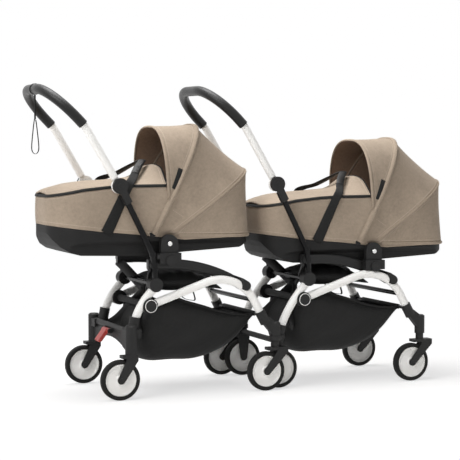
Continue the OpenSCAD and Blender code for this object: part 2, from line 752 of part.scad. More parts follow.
module basket() {
    ring = basket_t + seat_fit;
    difference() {
        union() {
            plate(-basket_w / 2, basket_w / 2) basket_outline(0, 0);
            across(hub_x, hub_z, -basket_w / 2, basket_w / 2, cross_r + 1 + ring);
            across(basket_bar_x, basket_bar_z, -basket_w / 2, basket_w / 2, basket_bar_r + ring);
        }
        plate(-basket_w / 2 + basket_t, basket_w / 2 - basket_t) difference() {
            basket_outline(basket_t, 60);
            translate([hub_x, hub_z]) circle(r = cross_r + 1 + ring);
            translate([basket_bar_x, basket_bar_z]) circle(r = basket_bar_r + ring);
        }
        across(hub_x, hub_z, -200, 200, cross_r + 1 + seat_fit);
        across(basket_bar_x, basket_bar_z, -200, 200, basket_bar_r + seat_fit);
    }
}

module baskets() {
    color(black) both_frames() basket();
}

module brake_pedal() {
    color(red) at_main() difference() {
        union() {
            across(-54, 212, -31, 31, axle_r + 5);
            plate(-21, 21) polygon([[-50, 218], [-56, 206], [-78, 177], [-86, 174], [-91, 180], [-62, 219]]);
        }
        across(-54, 212, -40, 40, axle_r + run_fit);
    }
}

// Handle tubes with their hinge knuckles, both sides
module handle_tube() {
    run = handle_l - handle_bend * tan(handle_turn / 2);
    color(white) both_sides() difference() {
        union() {
            across(hinge_x, hinge_z, knuckle_y0, knuckle_y1, knuckle_r);
            translate([hinge_x, -knuckle_y1, hinge_z]) rotate([0, -handle_heading, 0])
                translate([0, 0, -10]) cube([knuckle_r + 14, knuckle_y1 - knuckle_y0, 20]);
            translate([hinge_x, -handle_y, hinge_z]) rotate([0, -handle_heading, 0]) {
                translate([knuckle_r + 4, 0, 0]) bar(handle_r, run - knuckle_r - 4);
                translate([run, 0, 0]) {
                    bend(handle_bend, handle_turn, handle_r - 0.4);
                    core(handle_r);
                    after_bend(handle_bend, handle_turn) {
                        bar(handle_r, grip_in);
                        core(handle_r);
                    }
                }
            }
        }
        across(hinge_x, hinge_z, knuckle_y0 - 1, knuckle_y1 + 1, pin_r + run_fit);
    }
}

// Padded grip bow
module handle_grip() {
    color(black) translate([grip_x, 0, grip_z]) rotate([0, -grip_heading, 0]) difference() {
        union() {
            both_sides() translate([grip_start, -handle_y, 0]) bar(grip_r, grip_l - grip_bend - grip_start);
            both_sides() translate([grip_l - grip_bend, -handle_y + grip_bend, 0]) rotate([0, 0, -90])
                rotate_extrude(angle = 90) translate([grip_bend, 0]) circle(r = grip_r);
            across(grip_l, 0, -handle_y + grip_bend, handle_y - grip_bend, grip_r);
        }
        both_sides() translate([grip_start - 1, -handle_y, 0]) bar(handle_r + seat_fit, grip_in - grip_start + 1);
    }
}

// Release button on the left hinge
module release_button() {
    color(white) left_side() {
        across(hinge_x, hinge_z, hinge_y1 - 4.5, hinge_y1 + 2, button_r);
        translate([hinge_x, -hinge_y1 - 2, hinge_z]) rotate([90, 0, 0])
            cylinder(r1 = button_r, r2 = button_r - 4, h = 2.5);
    }
}

module wrist_strap() {
    strap_x = grip_apex_x;
    top = grip_apex_z - grip_r - 1;
    mid = grip_apex_z - 98;
    low = grip_apex_z - 217;
    color(black) at_main() plate(-26, -14) {
        difference() {
            translate([strap_x, grip_apex_z]) circle(r = grip_r + strap_t);
            translate([strap_x, grip_apex_z]) circle(r = grip_r + seat_fit);
        }
        translate([strap_x - 1.5, mid - 1.5]) square([3, top - mid + 1.5]);
        difference() {
            union() {
                translate([strap_x, low + 14]) circle(r = 14);
                translate([strap_x - 14, low + 14]) square([28, mid - low - 28]);
                translate([strap_x, mid - 14]) circle(r = 14);
            }
            translate([strap_x, low + 14]) circle(r = 12);
            translate([strap_x - 12, low + 14]) square([24, mid - low - 28]);
            translate([strap_x, mid - 14]) circle(r = 12);
        }
    }
}

module main_handle_tube() {
    at_main() handle_tube();
}

module lead_handle_tube() {
    at_lead() handle_tube();
}

module main_handle_grip() {
    at_main() handle_grip();
}

module lead_handle_grip() {
    at_lead() handle_grip();
}

module main_release_button() {
    at_main() release_button();
}

module lead_release_button() {
    at_lead() release_button();
}

module main_front_fork_right() {
    at_main() front_fork();
}

module main_front_fork_left() {
    at_main() left_side() front_fork();
}

module lead_front_fork_right() {
    at_lead() front_fork();
}

module lead_front_fork_left() {
    at_lead() left_side() front_fork();
}

module main_front_disc_right() {
    color(white) at_main() wheel_at(front_x, wheel_y) wheel_disc();
}

module main_front_tyre_right() {
    color(black) at_main() wheel_at(front_x, wheel_y) wheel_tyre();
}

module main_front_disc_left() {
    color(white) at_main() wheel_at(front_x, -wheel_y) wheel_disc();
}

module main_front_tyre_left() {
    color(black) at_main() wheel_at(front_x, -wheel_y) wheel_tyre();
}

module main_rear_disc_right() {
    color(white) at_main() wheel_at(main_rear_x, wheel_y) wheel_disc();
}

module main_rear_tyre_right() {
    color(black) at_main() wheel_at(main_rear_x, wheel_y) wheel_tyre();
}

module main_rear_disc_left() {
    color(white) at_main() wheel_at(main_rear_x, -wheel_y) wheel_disc();
}

module main_rear_tyre_left() {
    color(black) at_main() wheel_at(main_rear_x, -wheel_y) wheel_tyre();
}

module lead_front_disc_right() {
    color(white) at_lead() wheel_at(front_x, wheel_y) wheel_disc();
}

module lead_front_tyre_right() {
    color(black) at_lead() wheel_at(front_x, wheel_y) wheel_tyre();
}

module lead_front_disc_left() {
    color(white) at_lead() wheel_at(front_x, -wheel_y) wheel_disc();
}

module lead_front_tyre_left() {
    color(black) at_lead() wheel_at(front_x, -wheel_y) wheel_tyre();
}

module lead_rear_disc_right() {
    color(white) at_lead() wheel_at(lead_rear_x, lead_wheel_y) wheel_disc();
}

module lead_rear_tyre_right() {
    color(black) at_lead() wheel_at(lead_rear_x, lead_wheel_y) wheel_tyre();
}

module lead_rear_disc_left() {
    color(white) at_lead() wheel_at(lead_rear_x, -lead_wheel_y) wheel_disc();
}

module lead_rear_tyre_left() {
    color(black) at_lead() wheel_at(lead_rear_x, -lead_wheel_y) wheel_tyre();
}

// Plan of the cot, drawn in by a gap
module plan(gap) {
    r = corner_r - gap;
    translate([cot_x0 + gap, -cot_y + corner_r]) square([cot_l - 2 * gap, cot_w - 2 * corner_r]);
    translate([cot_x0 + corner_r, -cot_y + gap]) square([cot_l - 2 * corner_r, cot_w - 2 * gap]);
    for (x = [cot_x0 + corner_r, cot_x1 - corner_r], y = [-cot_y + corner_r, cot_y - corner_r]) {
        translate([x, y]) circle(r = r);
    }
}

// Solid of the cot's plan between two heights
module plan_block(gap, z0, z1) {
    translate([0, 0, z0]) linear_extrude(height = z1 - z0) plan(gap);
}

module cot_tub() {
    color(black) difference() {
        intersection() {
            plan_block(0, 460, 600);
            plate(-cot_y - 10, cot_y + 10) polygon(concat(tub_top, tub_low));
            translate([cot_x0 - 10, 0, 0]) rotate([90, 0, 90]) linear_extrude(height = cot_l + 20) polygon([
                [-bilge_y + 8, 460], [-bilge_y, bilge_z], [-cot_y, bilge_z + 14], [-cot_y, 620],
                [cot_y, 620], [cot_y, bilge_z + 14], [bilge_y, bilge_z], [bilge_y - 8, 460]]);
        }
        intersection() {
            plan_block(wall_t + 2, floor_z, 640);
            translate([cot_x0 - 10, 0, 0]) rotate([90, 0, 90]) linear_extrude(height = cot_l + 20) polygon([
                [-bilge_y + tub_t, floor_z], [-bilge_y + tub_t, bilge_z + 2], [-cot_y + wall_t + 2, bilge_z + 16],
                [-cot_y, 640], [cot_y, 640], [cot_y - wall_t - 2, bilge_z + 16], [bilge_y - tub_t, bilge_z + 2],
                [bilge_y - tub_t, floor_z]]);
            plate(-cot_y, cot_y) polygon([[cot_x0 + 68, floor_z], [cot_x0 + 34, 519], [cot_x0 + 17, 543],
                [cot_x0 + 12, 572], [cot_x0 + 12, 640],
                [cot_x1 - 10, 640], [cot_x1 - 26, floor_z + 18], [cot_x1 - 66, floor_z]]);
        }
    }
}

module cot_walls() {
    color(taupe) intersection() {
        difference() {
            plan_block(0, 500, 800);
            plan_block(wall_t, 480, 820);
        }
        plate(-cot_y - 10, cot_y + 10) polygon(concat(tub_top, [for (i = [len(rim_line) - 1 : -1 : 0]) rim_line[i]]));
    }
}

module mattress() {
    color(cream) intersection() {
        plan_block(wall_t + 18, floor_z, floor_z + mattress_t + 60);
        translate([cot_x0 + 70, 0, floor_z + mattress_t + 12 - 900]) bar(900, cot_l - 70 - 70, $fn = 360);
    }
}

// Half width of the cot at x
function half_at(x) = x > cot_x0 + corner_r ? cot_y
    : cot_y - corner_r + sqrt(max(0, pow(corner_r, 2) - pow(cot_x0 + corner_r - x, 2)));

module cot_apron() {
    xs = [cot_x0 + 1, cot_x0 + 12, cot_x0 + 36, cot_x0 + 72, -186, -140, -94, -24, 30, 62, 84, 99, 107];
    rise = [6, 10, 13, 14, 14, 14, 14, 15, 20, 34, 52, 62, 64];
    function row(d) = [for (i = [0 : len(xs) - 1]) [for (j = [0 : 14]) let (v = j / 7 - 1, s = 1 - pow(abs(v), 2.2))
        [xs[i], v * (half_at(xs[i]) - 0.5), rim_at(xs[i]) + 0.3 + rise[i] * s + d]]];
    color(taupe) cloth(row(apron_t), row(0));
}

module carry_strap() {
    half = [20, 20, 19, 18, 17, 16, 15, 14, 14];
    line = [[-109, cot_y + 1.6, 556], [-87, cot_y + 1.6, 600], [-63, cot_y + 1.6, 650], [-32, cot_y + 1.6, 712],
        [-21, cot_y + 1.6, 736], [-6, cot_y - 7, 761], [22, cot_y - 42, 778], [52, cot_y - 90, 792], [66, 0, 797]];
    top = len(line) - 1;
    whole = concat([for (p = line) [p[0], -p[1], p[2]]], [for (i = [top - 1 : -1 : 0]) line[i]]);
    last = len(whole) - 1;
    function lean(i) = let (a = whole[max(0, i - 1)], b = whole[min(last, i + 1)], d = [b[1] - a[1], b[2] - a[2]]) d / norm(d);
    function row(d) = [for (i = [0 : last]) let (t = lean(i)) [for (e = [1, -1])
        [whole[i][0] + e * half[min(i, last - i)], whole[i][1] - t[1] * d, whole[i][2] + t[0] * d]]];
    color(black) cloth(row(0), row(-1.5));
}

// Bracket of the right side, with the hood's pin
module cot_bracket() {
    difference() {
        union() {
            plate(cot_y + seat_fit, cot_y + bracket_t) {
                translate([bracket_x - bracket_w / 2, bracket_z0]) square([bracket_w, bracket_z1 - bracket_z0 - bracket_w / 2]);
                translate([bracket_x, bracket_z1 - bracket_w / 2]) circle(d = bracket_w);
            }
            across(bracket_x, bracket_z1 - bracket_w / 2, cot_y + bracket_t, cot_y + bracket_t + 3, 8);
        }
        translate([bracket_x, -peg_y, bracket_z0 - 1]) cylinder(r = peg_r + peg_fit, h = peg_l + 3);
    }
    across(pivot_x, pivot_z, cot_y + seat_fit, arm_in - 0.3, hood_pin_r + 7);
    across(pivot_x, pivot_z, cot_y + seat_fit, arm_out + 1, hood_pin_r);
}

module cot_brackets() {
    color(black) both_sides() cot_bracket();
}

module hood_rear_panel() {
    color(taupe) cloth([fan_bow(0), hem_bow(0)], [fan_bow(hood_t), hem_bow(hood_t)]);
}

module hood_panel() {
    color(taupe) cloth([front_bow(0), fan_bow(0)], [front_bow(hood_t), fan_bow(hood_t)]);
}

module hood_visor() {
    heading = atan2(hood_z - pivot_z, bow_x - pivot_x);
    color(taupe) {
        cloth([rim_bow(0), top_bow(0)], [rim_bow(hood_t), top_bow(hood_t)]);
        both_sides() difference() {
            union() {
                across(pivot_x, pivot_z, arm_in, arm_out, hood_pin_r + 6);
                translate([pivot_x, -arm_out, pivot_z]) rotate([0, -heading, 0])
                    translate([0, 0, -8]) cube([150, arm_out - arm_in, 16]);
            }
            across(pivot_x, pivot_z, arm_in - 1, arm_out + 1, hood_pin_r + run_fit);
        }
    }
}

module main_cot_tub() {
    at_main() cot_tub();
}

module main_cot_walls() {
    at_main() cot_walls();
}

module main_cot_apron() {
    at_main() cot_apron();
}

module main_mattress() {
    at_main() mattress();
}

module main_carry_strap() {
    at_main() carry_strap();
}

module main_cot_brackets() {
    at_main() cot_brackets();
}

module main_hood_rear_panel() {
    at_main() hood_rear_panel();
}

module main_hood_panel() {
    at_main() hood_panel();
}

module main_hood_visor() {
    at_main() hood_visor();
}

module lead_cot_tub() {
    at_lead_cot() cot_tub();
}

module lead_cot_walls() {
    at_lead_cot() cot_walls();
}

module lead_cot_apron() {
    at_lead_cot() cot_apron();
}

module lead_mattress() {
    at_lead_cot() mattress();
}

module lead_carry_strap() {
    at_lead_cot() carry_strap();
}

module lead_cot_brackets() {
    at_lead_cot() cot_brackets();
}

module lead_hood_rear_panel() {
    at_lead_cot() hood_rear_panel();
}

module lead_hood_panel() {
    at_lead_cot() hood_panel();
}

module lead_hood_visor() {
    at_lead_cot() hood_visor();
}

arch_tubes();
rear_legs();
frame_hubs();
front_ferrules();
rear_axles();
lower_tubes();
handle_hubs();
armrests();
cot_clamps();
cross_tubes();
link_arms();
seat_slings();
baskets();
brake_pedal();
main_handle_tube();
main_handle_grip();
main_release_button();
wrist_strap();
lead_handle_tube();
lead_handle_grip();
lead_release_button();
main_front_fork_right();
main_front_fork_left();
lead_front_fork_right();
lead_front_fork_left();
main_front_disc_right();
main_front_tyre_right();
main_front_disc_left();
main_front_tyre_left();
main_rear_disc_right();
main_rear_tyre_right();
main_rear_disc_left();
main_rear_tyre_left();
lead_front_disc_right();
lead_front_tyre_right();
lead_front_disc_left();
lead_front_tyre_left();
lead_rear_disc_right();
lead_rear_tyre_right();
lead_rear_disc_left();
lead_rear_tyre_left();
main_cot_tub();
main_cot_walls();
main_cot_apron();
main_mattress();
main_carry_strap();
main_cot_brackets();
main_hood_rear_panel();
main_hood_panel();
main_hood_visor();
lead_cot_tub();
lead_cot_walls();
lead_cot_apron();
lead_mattress();
lead_carry_strap();
lead_cot_brackets();
lead_hood_rear_panel();
lead_hood_panel();
lead_hood_visor();
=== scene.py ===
# %% [markdown]
# # A twin pram in a plain studio
# Two compact pushchair frames are linked in line, and each one carries a soft cot with a folding hood.
# The metal and plastic pieces come ready-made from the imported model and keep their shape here.
# This lesson gives them their finishes, and makes every sewn piece as cloth: walls, apron, hood,
# mattress, straps, seat and basket.

import math

import bpy
import numpy as np
from mathutils import Matrix, Vector


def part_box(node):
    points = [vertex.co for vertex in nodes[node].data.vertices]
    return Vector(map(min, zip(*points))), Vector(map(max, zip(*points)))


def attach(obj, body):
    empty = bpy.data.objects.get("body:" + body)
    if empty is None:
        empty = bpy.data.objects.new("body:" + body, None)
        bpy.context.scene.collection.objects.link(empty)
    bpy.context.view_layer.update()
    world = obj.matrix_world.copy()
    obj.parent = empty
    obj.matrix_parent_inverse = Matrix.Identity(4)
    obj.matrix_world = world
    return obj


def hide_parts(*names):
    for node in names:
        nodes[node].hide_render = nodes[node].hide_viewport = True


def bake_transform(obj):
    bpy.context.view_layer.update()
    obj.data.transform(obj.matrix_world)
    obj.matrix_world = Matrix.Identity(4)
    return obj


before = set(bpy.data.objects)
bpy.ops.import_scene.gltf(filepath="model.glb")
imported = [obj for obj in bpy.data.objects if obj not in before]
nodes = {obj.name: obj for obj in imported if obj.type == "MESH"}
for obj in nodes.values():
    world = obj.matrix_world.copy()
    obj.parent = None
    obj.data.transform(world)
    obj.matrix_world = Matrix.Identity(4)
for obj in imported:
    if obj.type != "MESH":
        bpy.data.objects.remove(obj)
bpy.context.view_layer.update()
scene = bpy.context.scene
scene.view_settings.view_transform = "Standard"
# With three lamps every one can be sampled evenly, and on thin round tubes the noise filter is misled by
# their normals. Both settings keep the pale tubes free of speckle.
scene.cycles.use_light_tree = False
scene.cycles.denoising_input_passes = "RGB_ALBEDO"

# %% [markdown]
# Every sewn piece is drawn in millimetres in its own unit's frame, because that is how a pattern cutter
# measures it. The rear unit's cot fixes that frame: its foot end is 285 mm behind the origin.
# The front unit's cot is the same cot again, further on and a little lower.

# %% Where the two units stand
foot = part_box("main_cot_walls")[0]
MAIN = np.array([foot.x * 1000 + 285, 0, 0])
lead_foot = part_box("lead_cot_walls")[0]
LEAD_COT = MAIN + np.array([(lead_foot.x - foot.x) * 1000, 0, (lead_foot.z - foot.z) * 1000])
rear_bar = [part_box(n)[0].x * 1000 for n in ("main_handle_tube", "lead_handle_tube")]
LEAD = MAIN + np.array([rear_bar[1] - rear_bar[0], 0, 0])
COTS = {"main": MAIN, "lead": LEAD_COT}
FRAMES = {"main": MAIN, "lead": LEAD}
print("lead frame", np.round(LEAD - MAIN, 1), "lead cot", np.round(LEAD_COT - MAIN, 1))

# %% [markdown]
# The photograph was taken from behind and to the right with a long lens, a little above the cots.
# The camera's place was worked out from the wheels, tubes and hubs, so here it is only set down.

# %% Camera
camera_data = bpy.data.cameras.new("studio_camera")
camera_data.sensor_width = 36
camera_data.lens = 121.84
camera = bpy.data.objects.new("studio_camera", camera_data)
scene.collection.objects.link(camera)
heading, dip = math.radians(22.957), math.radians(3.3625)
look = Vector((math.sin(heading) * math.cos(dip), math.cos(heading) * math.cos(dip), -math.sin(dip)))
camera.location = ((-1744.4 + MAIN[0]) / 1000, -5.0811, 0.8710)
camera.rotation_mode = "QUATERNION"
camera.rotation_quaternion = look.to_track_quat("-Z", "Y")
scene.camera = camera
print("camera", [round(v, 3) for v in camera.location])

# %% [markdown]
# Materials are built from nodes. Two small helpers are enough: one turns a colour as a screen shows it
# into the linear numbers that the renderer needs, and one adds a node with its settings and links.

# %% Colour and node helpers


def colour(code):
    """A six-digit sRGB colour as linear red, green, blue and alpha."""
    parts = [int(code[i : i + 2], 16) / 255 for i in (0, 2, 4)]
    return [p / 12.92 if p <= 0.04045 else ((p + 0.055) / 1.055) ** 2.4 for p in parts] + [1]


def add(tree, kind, inputs=None, **settings):
    """Adds one node, gives it its settings, and fills or links its inputs."""
    made = tree.nodes.new("ShaderNode" + kind)
    for key, value in settings.items():
        setattr(made, key, value)
    for key, value in (inputs or {}).items():
        if isinstance(value, bpy.types.NodeSocket):
            tree.links.new(value, made.inputs[key])
        else:
            made.inputs[key].default_value = value
    return made


def finish(name, **sockets):
    """A new material with its shader; plain numbers are set on the shader's own sockets."""
    made = bpy.data.materials.new(name)
    made.use_nodes = True
    shader = made.node_tree.nodes["Principled BSDF"]
    for key, value in sockets.items():
        shader.inputs[key.replace("_", " ")].default_value = value
    return made, made.node_tree, shader


# %% [markdown]
# ## Studio
# The photograph is a cut-out on white. A pale floor that fades to white away from the object gives the
# same clean ground and still takes a soft shadow under the wheels. Floor and sky shine only for rays that
# end in the eye, straight or by way of a mirror or a window, so they add no light to the object.

# %% Floor


def seen_by_eye(tree):
    """One for rays from the camera, a glossy or a clear surface, and nought for scattered light."""
    rays = add(tree, "LightPath").outputs
    direct = add(tree, "Math", {0: rays["Is Camera Ray"], 1: rays["Is Glossy Ray"]}, operation="MAXIMUM")
    through = {0: direct.outputs[0], 1: rays["Is Transmission Ray"]}
    return add(tree, "Math", through, operation="MAXIMUM").outputs[0]


floor_mesh = bpy.data.meshes.new("studio_floor")
floor_mesh.from_pydata([(-30, -30, 0), (30, -30, 0), (30, 30, 0), (-30, 30, 0)], [], [(0, 1, 2, 3)])
floor = bpy.data.objects.new("studio_floor", floor_mesh)
scene.collection.objects.link(floor)
paper, tree, shader = finish("matt_paper_white", Roughness=0.9, Base_Color=colour("F4F3F1"))
spot = add(tree, "NewGeometry")
away = add(tree, "VectorMath", {0: spot.outputs["Position"]}, operation="LENGTH")
fade = add(tree, "MapRange", {"Value": away.outputs["Value"], "From Min": 0.7, "From Max": 2.4,
                              "To Min": 0.62, "To Max": 1.0}, interpolation_type="SMOOTHSTEP")
share = add(tree, "Math", {0: fade.outputs["Result"], 1: seen_by_eye(tree)}, operation="MULTIPLY")
glow = add(tree, "Emission", {"Color": colour("FFFFFF"), "Strength": 1.0})
both = add(tree, "MixShader", {0: share.outputs[0], 1: shader.outputs[0], 2: glow.outputs[0]})
tree.links.new(both.outputs[0], tree.nodes["Material Output"].inputs["Surface"])
# The glow is only for the eye, so the renderer need not seek light on the floor.
paper.cycles.emission_sampling = "NONE"
floor_mesh.materials.append(paper)
print("floor", [round(v, 1) for v in floor.dimensions])

# %% [markdown]
# The sky is white to the eye. As a light it is weak, about a quarter of that, and fills the shadows.

# %% Sky
SKY_LIGHT = 0.23
world = bpy.data.worlds.new("studio_sky")
scene.world = world
world.use_nodes = True
tree = world.node_tree
level = add(tree, "MapRange", {"Value": seen_by_eye(tree), "To Min": SKY_LIGHT, "To Max": 1.0})
tree.links.new(level.outputs["Result"], tree.nodes["Background"].inputs["Strength"])
tree.nodes["Background"].inputs["Color"].default_value = colour("FFFFFF")
print("sky light", SKY_LIGHT)

# %% [markdown]
# Three soft boxes light the pram: a key from behind on the left, a large one above, and a faint fill from
# the camera's side. Large boxes give the soft edges of a product studio.

# %% Lamps


def lamp(name, place, aim, size, watts):
    """A square soft box that faces a point."""
    data = bpy.data.lights.new(name, "AREA")
    data.shape, data.size, data.energy = "SQUARE", size, watts
    made = bpy.data.objects.new(name, data)
    scene.collection.objects.link(made)
    made.location = place
    made.rotation_mode = "QUATERNION"
    made.rotation_quaternion = (Vector(aim) - Vector(place)).to_track_quat("-Z", "Y")
    return made


lamp("soft_box_key", (-3.6, -1.8, 3.6), (0, 0, 0.6), 2.4, 125)
lamp("soft_box_fill", (1.0, -4.8, 1.8), (0, 0, 0.5), 2.6, 8)
lamp("soft_box_top", (-0.5, 0.5, 4.4), (0, 0, 0.6), 3.0, 235)

# %% [markdown]
# ## Finishes of the hard pieces
# A moulded or coated piece never has a perfectly sharp edge, but the solids do. The Bevel node rounds the
# shading at each edge, and where it turns away from the true surface there is an edge. There the colour is
# painted paler: partly wear, where a coat looks thin, and partly a painted highlight, where a moulding
# catches the light. One group of nodes gives both to every hard finish.

# %% Hard finishes


def hard(name, base, edge, grain_mm, grain_depth, mottle, radius_mm=1.2, **sockets):
    """A hard finish: base colour, paler edge (wear and painted highlight), moulded or sprayed grain, and
    uneven gloss.
    """
    made, tree, shader = finish(name, **sockets)
    where = add(tree, "TexCoord")
    rounded = add(tree, "Bevel", {"Radius": radius_mm / 1000}, samples=4)
    true = add(tree, "NewGeometry")
    pair = {0: rounded.outputs[0], 1: true.outputs["Normal"]}
    along = add(tree, "VectorMath", pair, operation="DOT_PRODUCT")
    # The paler edge is partly wear where a coat thins and partly a painted highlight where the edge catches
    # the light.
    edge_wear_and_highlight = add(tree, "MapRange", {"Value": along.outputs["Value"], "From Min": 1.0, "From Max": 0.8,
                                  "To Min": 0.0, "To Max": 0.55})
    cloud = add(tree, "TexNoise", {"Vector": where.outputs["Object"], "Scale": 22, "Detail": 4})
    broad = add(tree, "MapRange", {"Value": cloud.outputs["Fac"], "From Min": 0.3, "From Max": 0.7,
                                   "To Min": 0.0, "To Max": mottle})
    tone = add(tree, "Mix", {0: broad.outputs[0], 6: colour(base), 7: colour(edge)}, data_type="RGBA")
    paint = add(tree, "Mix", {0: edge_wear_and_highlight.outputs[0], 6: tone.outputs[2], 7: colour(edge)}, data_type="RGBA")
    tree.links.new(paint.outputs[2], shader.inputs["Base Color"])
    level = sockets.get("Roughness", 0.5)
    gloss = add(tree, "MapRange", {"Value": cloud.outputs["Fac"], "To Min": level - 0.07,
                                   "To Max": level + 0.09})
    tree.links.new(gloss.outputs[0], shader.inputs["Roughness"])
    grit = add(tree, "TexNoise", {"Vector": where.outputs["Object"], "Scale": 1000 / grain_mm, "Detail": 2})
    skin = add(tree, "Bump", {"Height": grit.outputs["Fac"], "Normal": rounded.outputs[0],
                              "Strength": grain_depth, "Distance": 0.0004})
    tree.links.new(skin.outputs[0], shader.inputs["Normal"])
    return made


print("recipe for hard finishes ready")

# %% [markdown]
# Each finish below is named for what the piece is made of and how its surface was made. The tubes have thin
# walls, so their edges are rounded by less than half a millimetre.

# %% Metal and plastic
TUBE_EDGE = 0.4
# Powder coat on aluminium tube: a soft shine with a faint orange peel, about 1.5 mm from crest to crest.
tube_white = hard("powder_coated_aluminium_white", "F0EFEC", "FBFAF8", 1.5, 0.06, 0.35, TUBE_EDGE,
                  Roughness=0.36, IOR=1.5)
# Anodised aluminium: the dye sits in the metal, so long clean highlights run down the tube.
tube_black = hard("anodised_aluminium_black", "0A0A0B", "252526", 0.8, 0.03, 0.3, TUBE_EDGE, Roughness=0.2,
                  Specular_IOR_Level=0.16)
# Glass-filled nylon: moulded, dull, with a spark-eroded grain of about 1 mm.
nylon = hard("glass_filled_nylon_black", "141414", "2C2B2A", 1.0, 0.22, 0.35, Roughness=0.52,
             Specular_IOR_Level=0.3)
# The cot's lower shell is the same kind of moulding with a coarser, duller grain.
shell_black = hard("moulded_polypropylene_black", "111111", "232221", 1.6, 0.3, 0.45, Roughness=0.62,
                   Specular_IOR_Level=0.25)
# ABS wheel discs come out of a polished tool and stay fairly glossy.
abs_white = hard("moulded_abs_white", "EFEEEB", "FAF9F7", 2.0, 0.04, 0.3, Roughness=0.3, IOR=1.53)
abs_red = hard("moulded_abs_red", "A8352F", "C65A50", 1.2, 0.12, 0.4, Roughness=0.4, IOR=1.53)
# Polyurethane tyres are matt, with dust worn into a 1 mm grain.
tyre_black = hard("foamed_polyurethane_black", "0F0F0E", "201F1E", 1.2, 0.35, 0.6, Roughness=0.74,
                  Specular_IOR_Level=0.25)
# Chromed steel keeps a metal's default index and shows the room.
chrome = hard("chromed_steel", "D8D8D6", "F2F2F0", 3.0, 0.02, 0.3, Roughness=0.16, Metallic=1.0)
print("hard finishes", 8)

# %% [markdown]
# The grips and the armrests are wrapped in leather cloth. Its pebbles are about 1.6 mm across; at the
# size of this picture they would vanish, so they are drawn at 2.4 mm, with a little sheen in the creases.

# %% Leather cloth
PEBBLE_MM = 2.4
leather, tree, shader = finish("leather_cloth_black", Roughness=0.35, Specular_IOR_Level=0.3)
shader.inputs["Sheen Weight"].default_value = 0.05
shader.inputs["Sheen Roughness"].default_value = 0.5
where = add(tree, "TexCoord")
pebble = add(tree, "TexVoronoi", {"Vector": where.outputs["Object"], "Scale": 1000 / PEBBLE_MM},
             feature="DISTANCE_TO_EDGE")
crease = add(tree, "MapRange", {"Value": pebble.outputs["Distance"], "From Max": 0.12})
cloud = add(tree, "TexNoise", {"Vector": where.outputs["Object"], "Scale": 30, "Detail": 4})
tone = add(tree, "Mix", {0: cloud.outputs["Fac"], 6: colour("0E0E0E"), 7: colour("1A1A19")}, data_type="RGBA")
# Painted shade: the creases between the pebbles are drawn darker than the pebbles.
dark = add(tree, "Mix", {0: crease.outputs[0], 6: colour("090909"), 7: tone.outputs[2]}, data_type="RGBA")
tree.links.new(dark.outputs[2], shader.inputs["Base Color"])
gloss = add(tree, "MapRange", {"Value": cloud.outputs["Fac"], "To Min": 0.26, "To Max": 0.44})
tree.links.new(gloss.outputs[0], shader.inputs["Roughness"])
rounded = add(tree, "Bevel", {"Radius": 0.001}, samples=4)
skin = add(tree, "Bump", {"Height": crease.outputs[0], "Normal": rounded.outputs[0], "Strength": 0.25,
                          "Distance": 0.0005})
tree.links.new(skin.outputs[0], shader.inputs["Normal"])
print("leather cloth ready")

# %% [markdown]
# ## Cloth finishes
# Each cloth piece carries a UV map called thread, in metres along the warp and the weft, and two numbers
# per point: seam, the distance to the nearest seam, and run, the length along it. With these one recipe
# draws plain weave, a painted shade across each yarn, and a row of top stitches beside each seam.
# A real yarn here is about 0.4 mm; it is drawn at 1.8 mm so that the weave can be seen at all.

# %% Weave and stitches
# A stitch line lies 12 mm inside the seam; two thirds of each 5.5 mm step are thread. The wave texture
# makes one band in each unit of length at a scale of about 0.314.
STITCH_IN, STITCH_STEP, STITCH_PART = 0.012, 0.0055, 0.68
BAND_SCALE = 0.31416


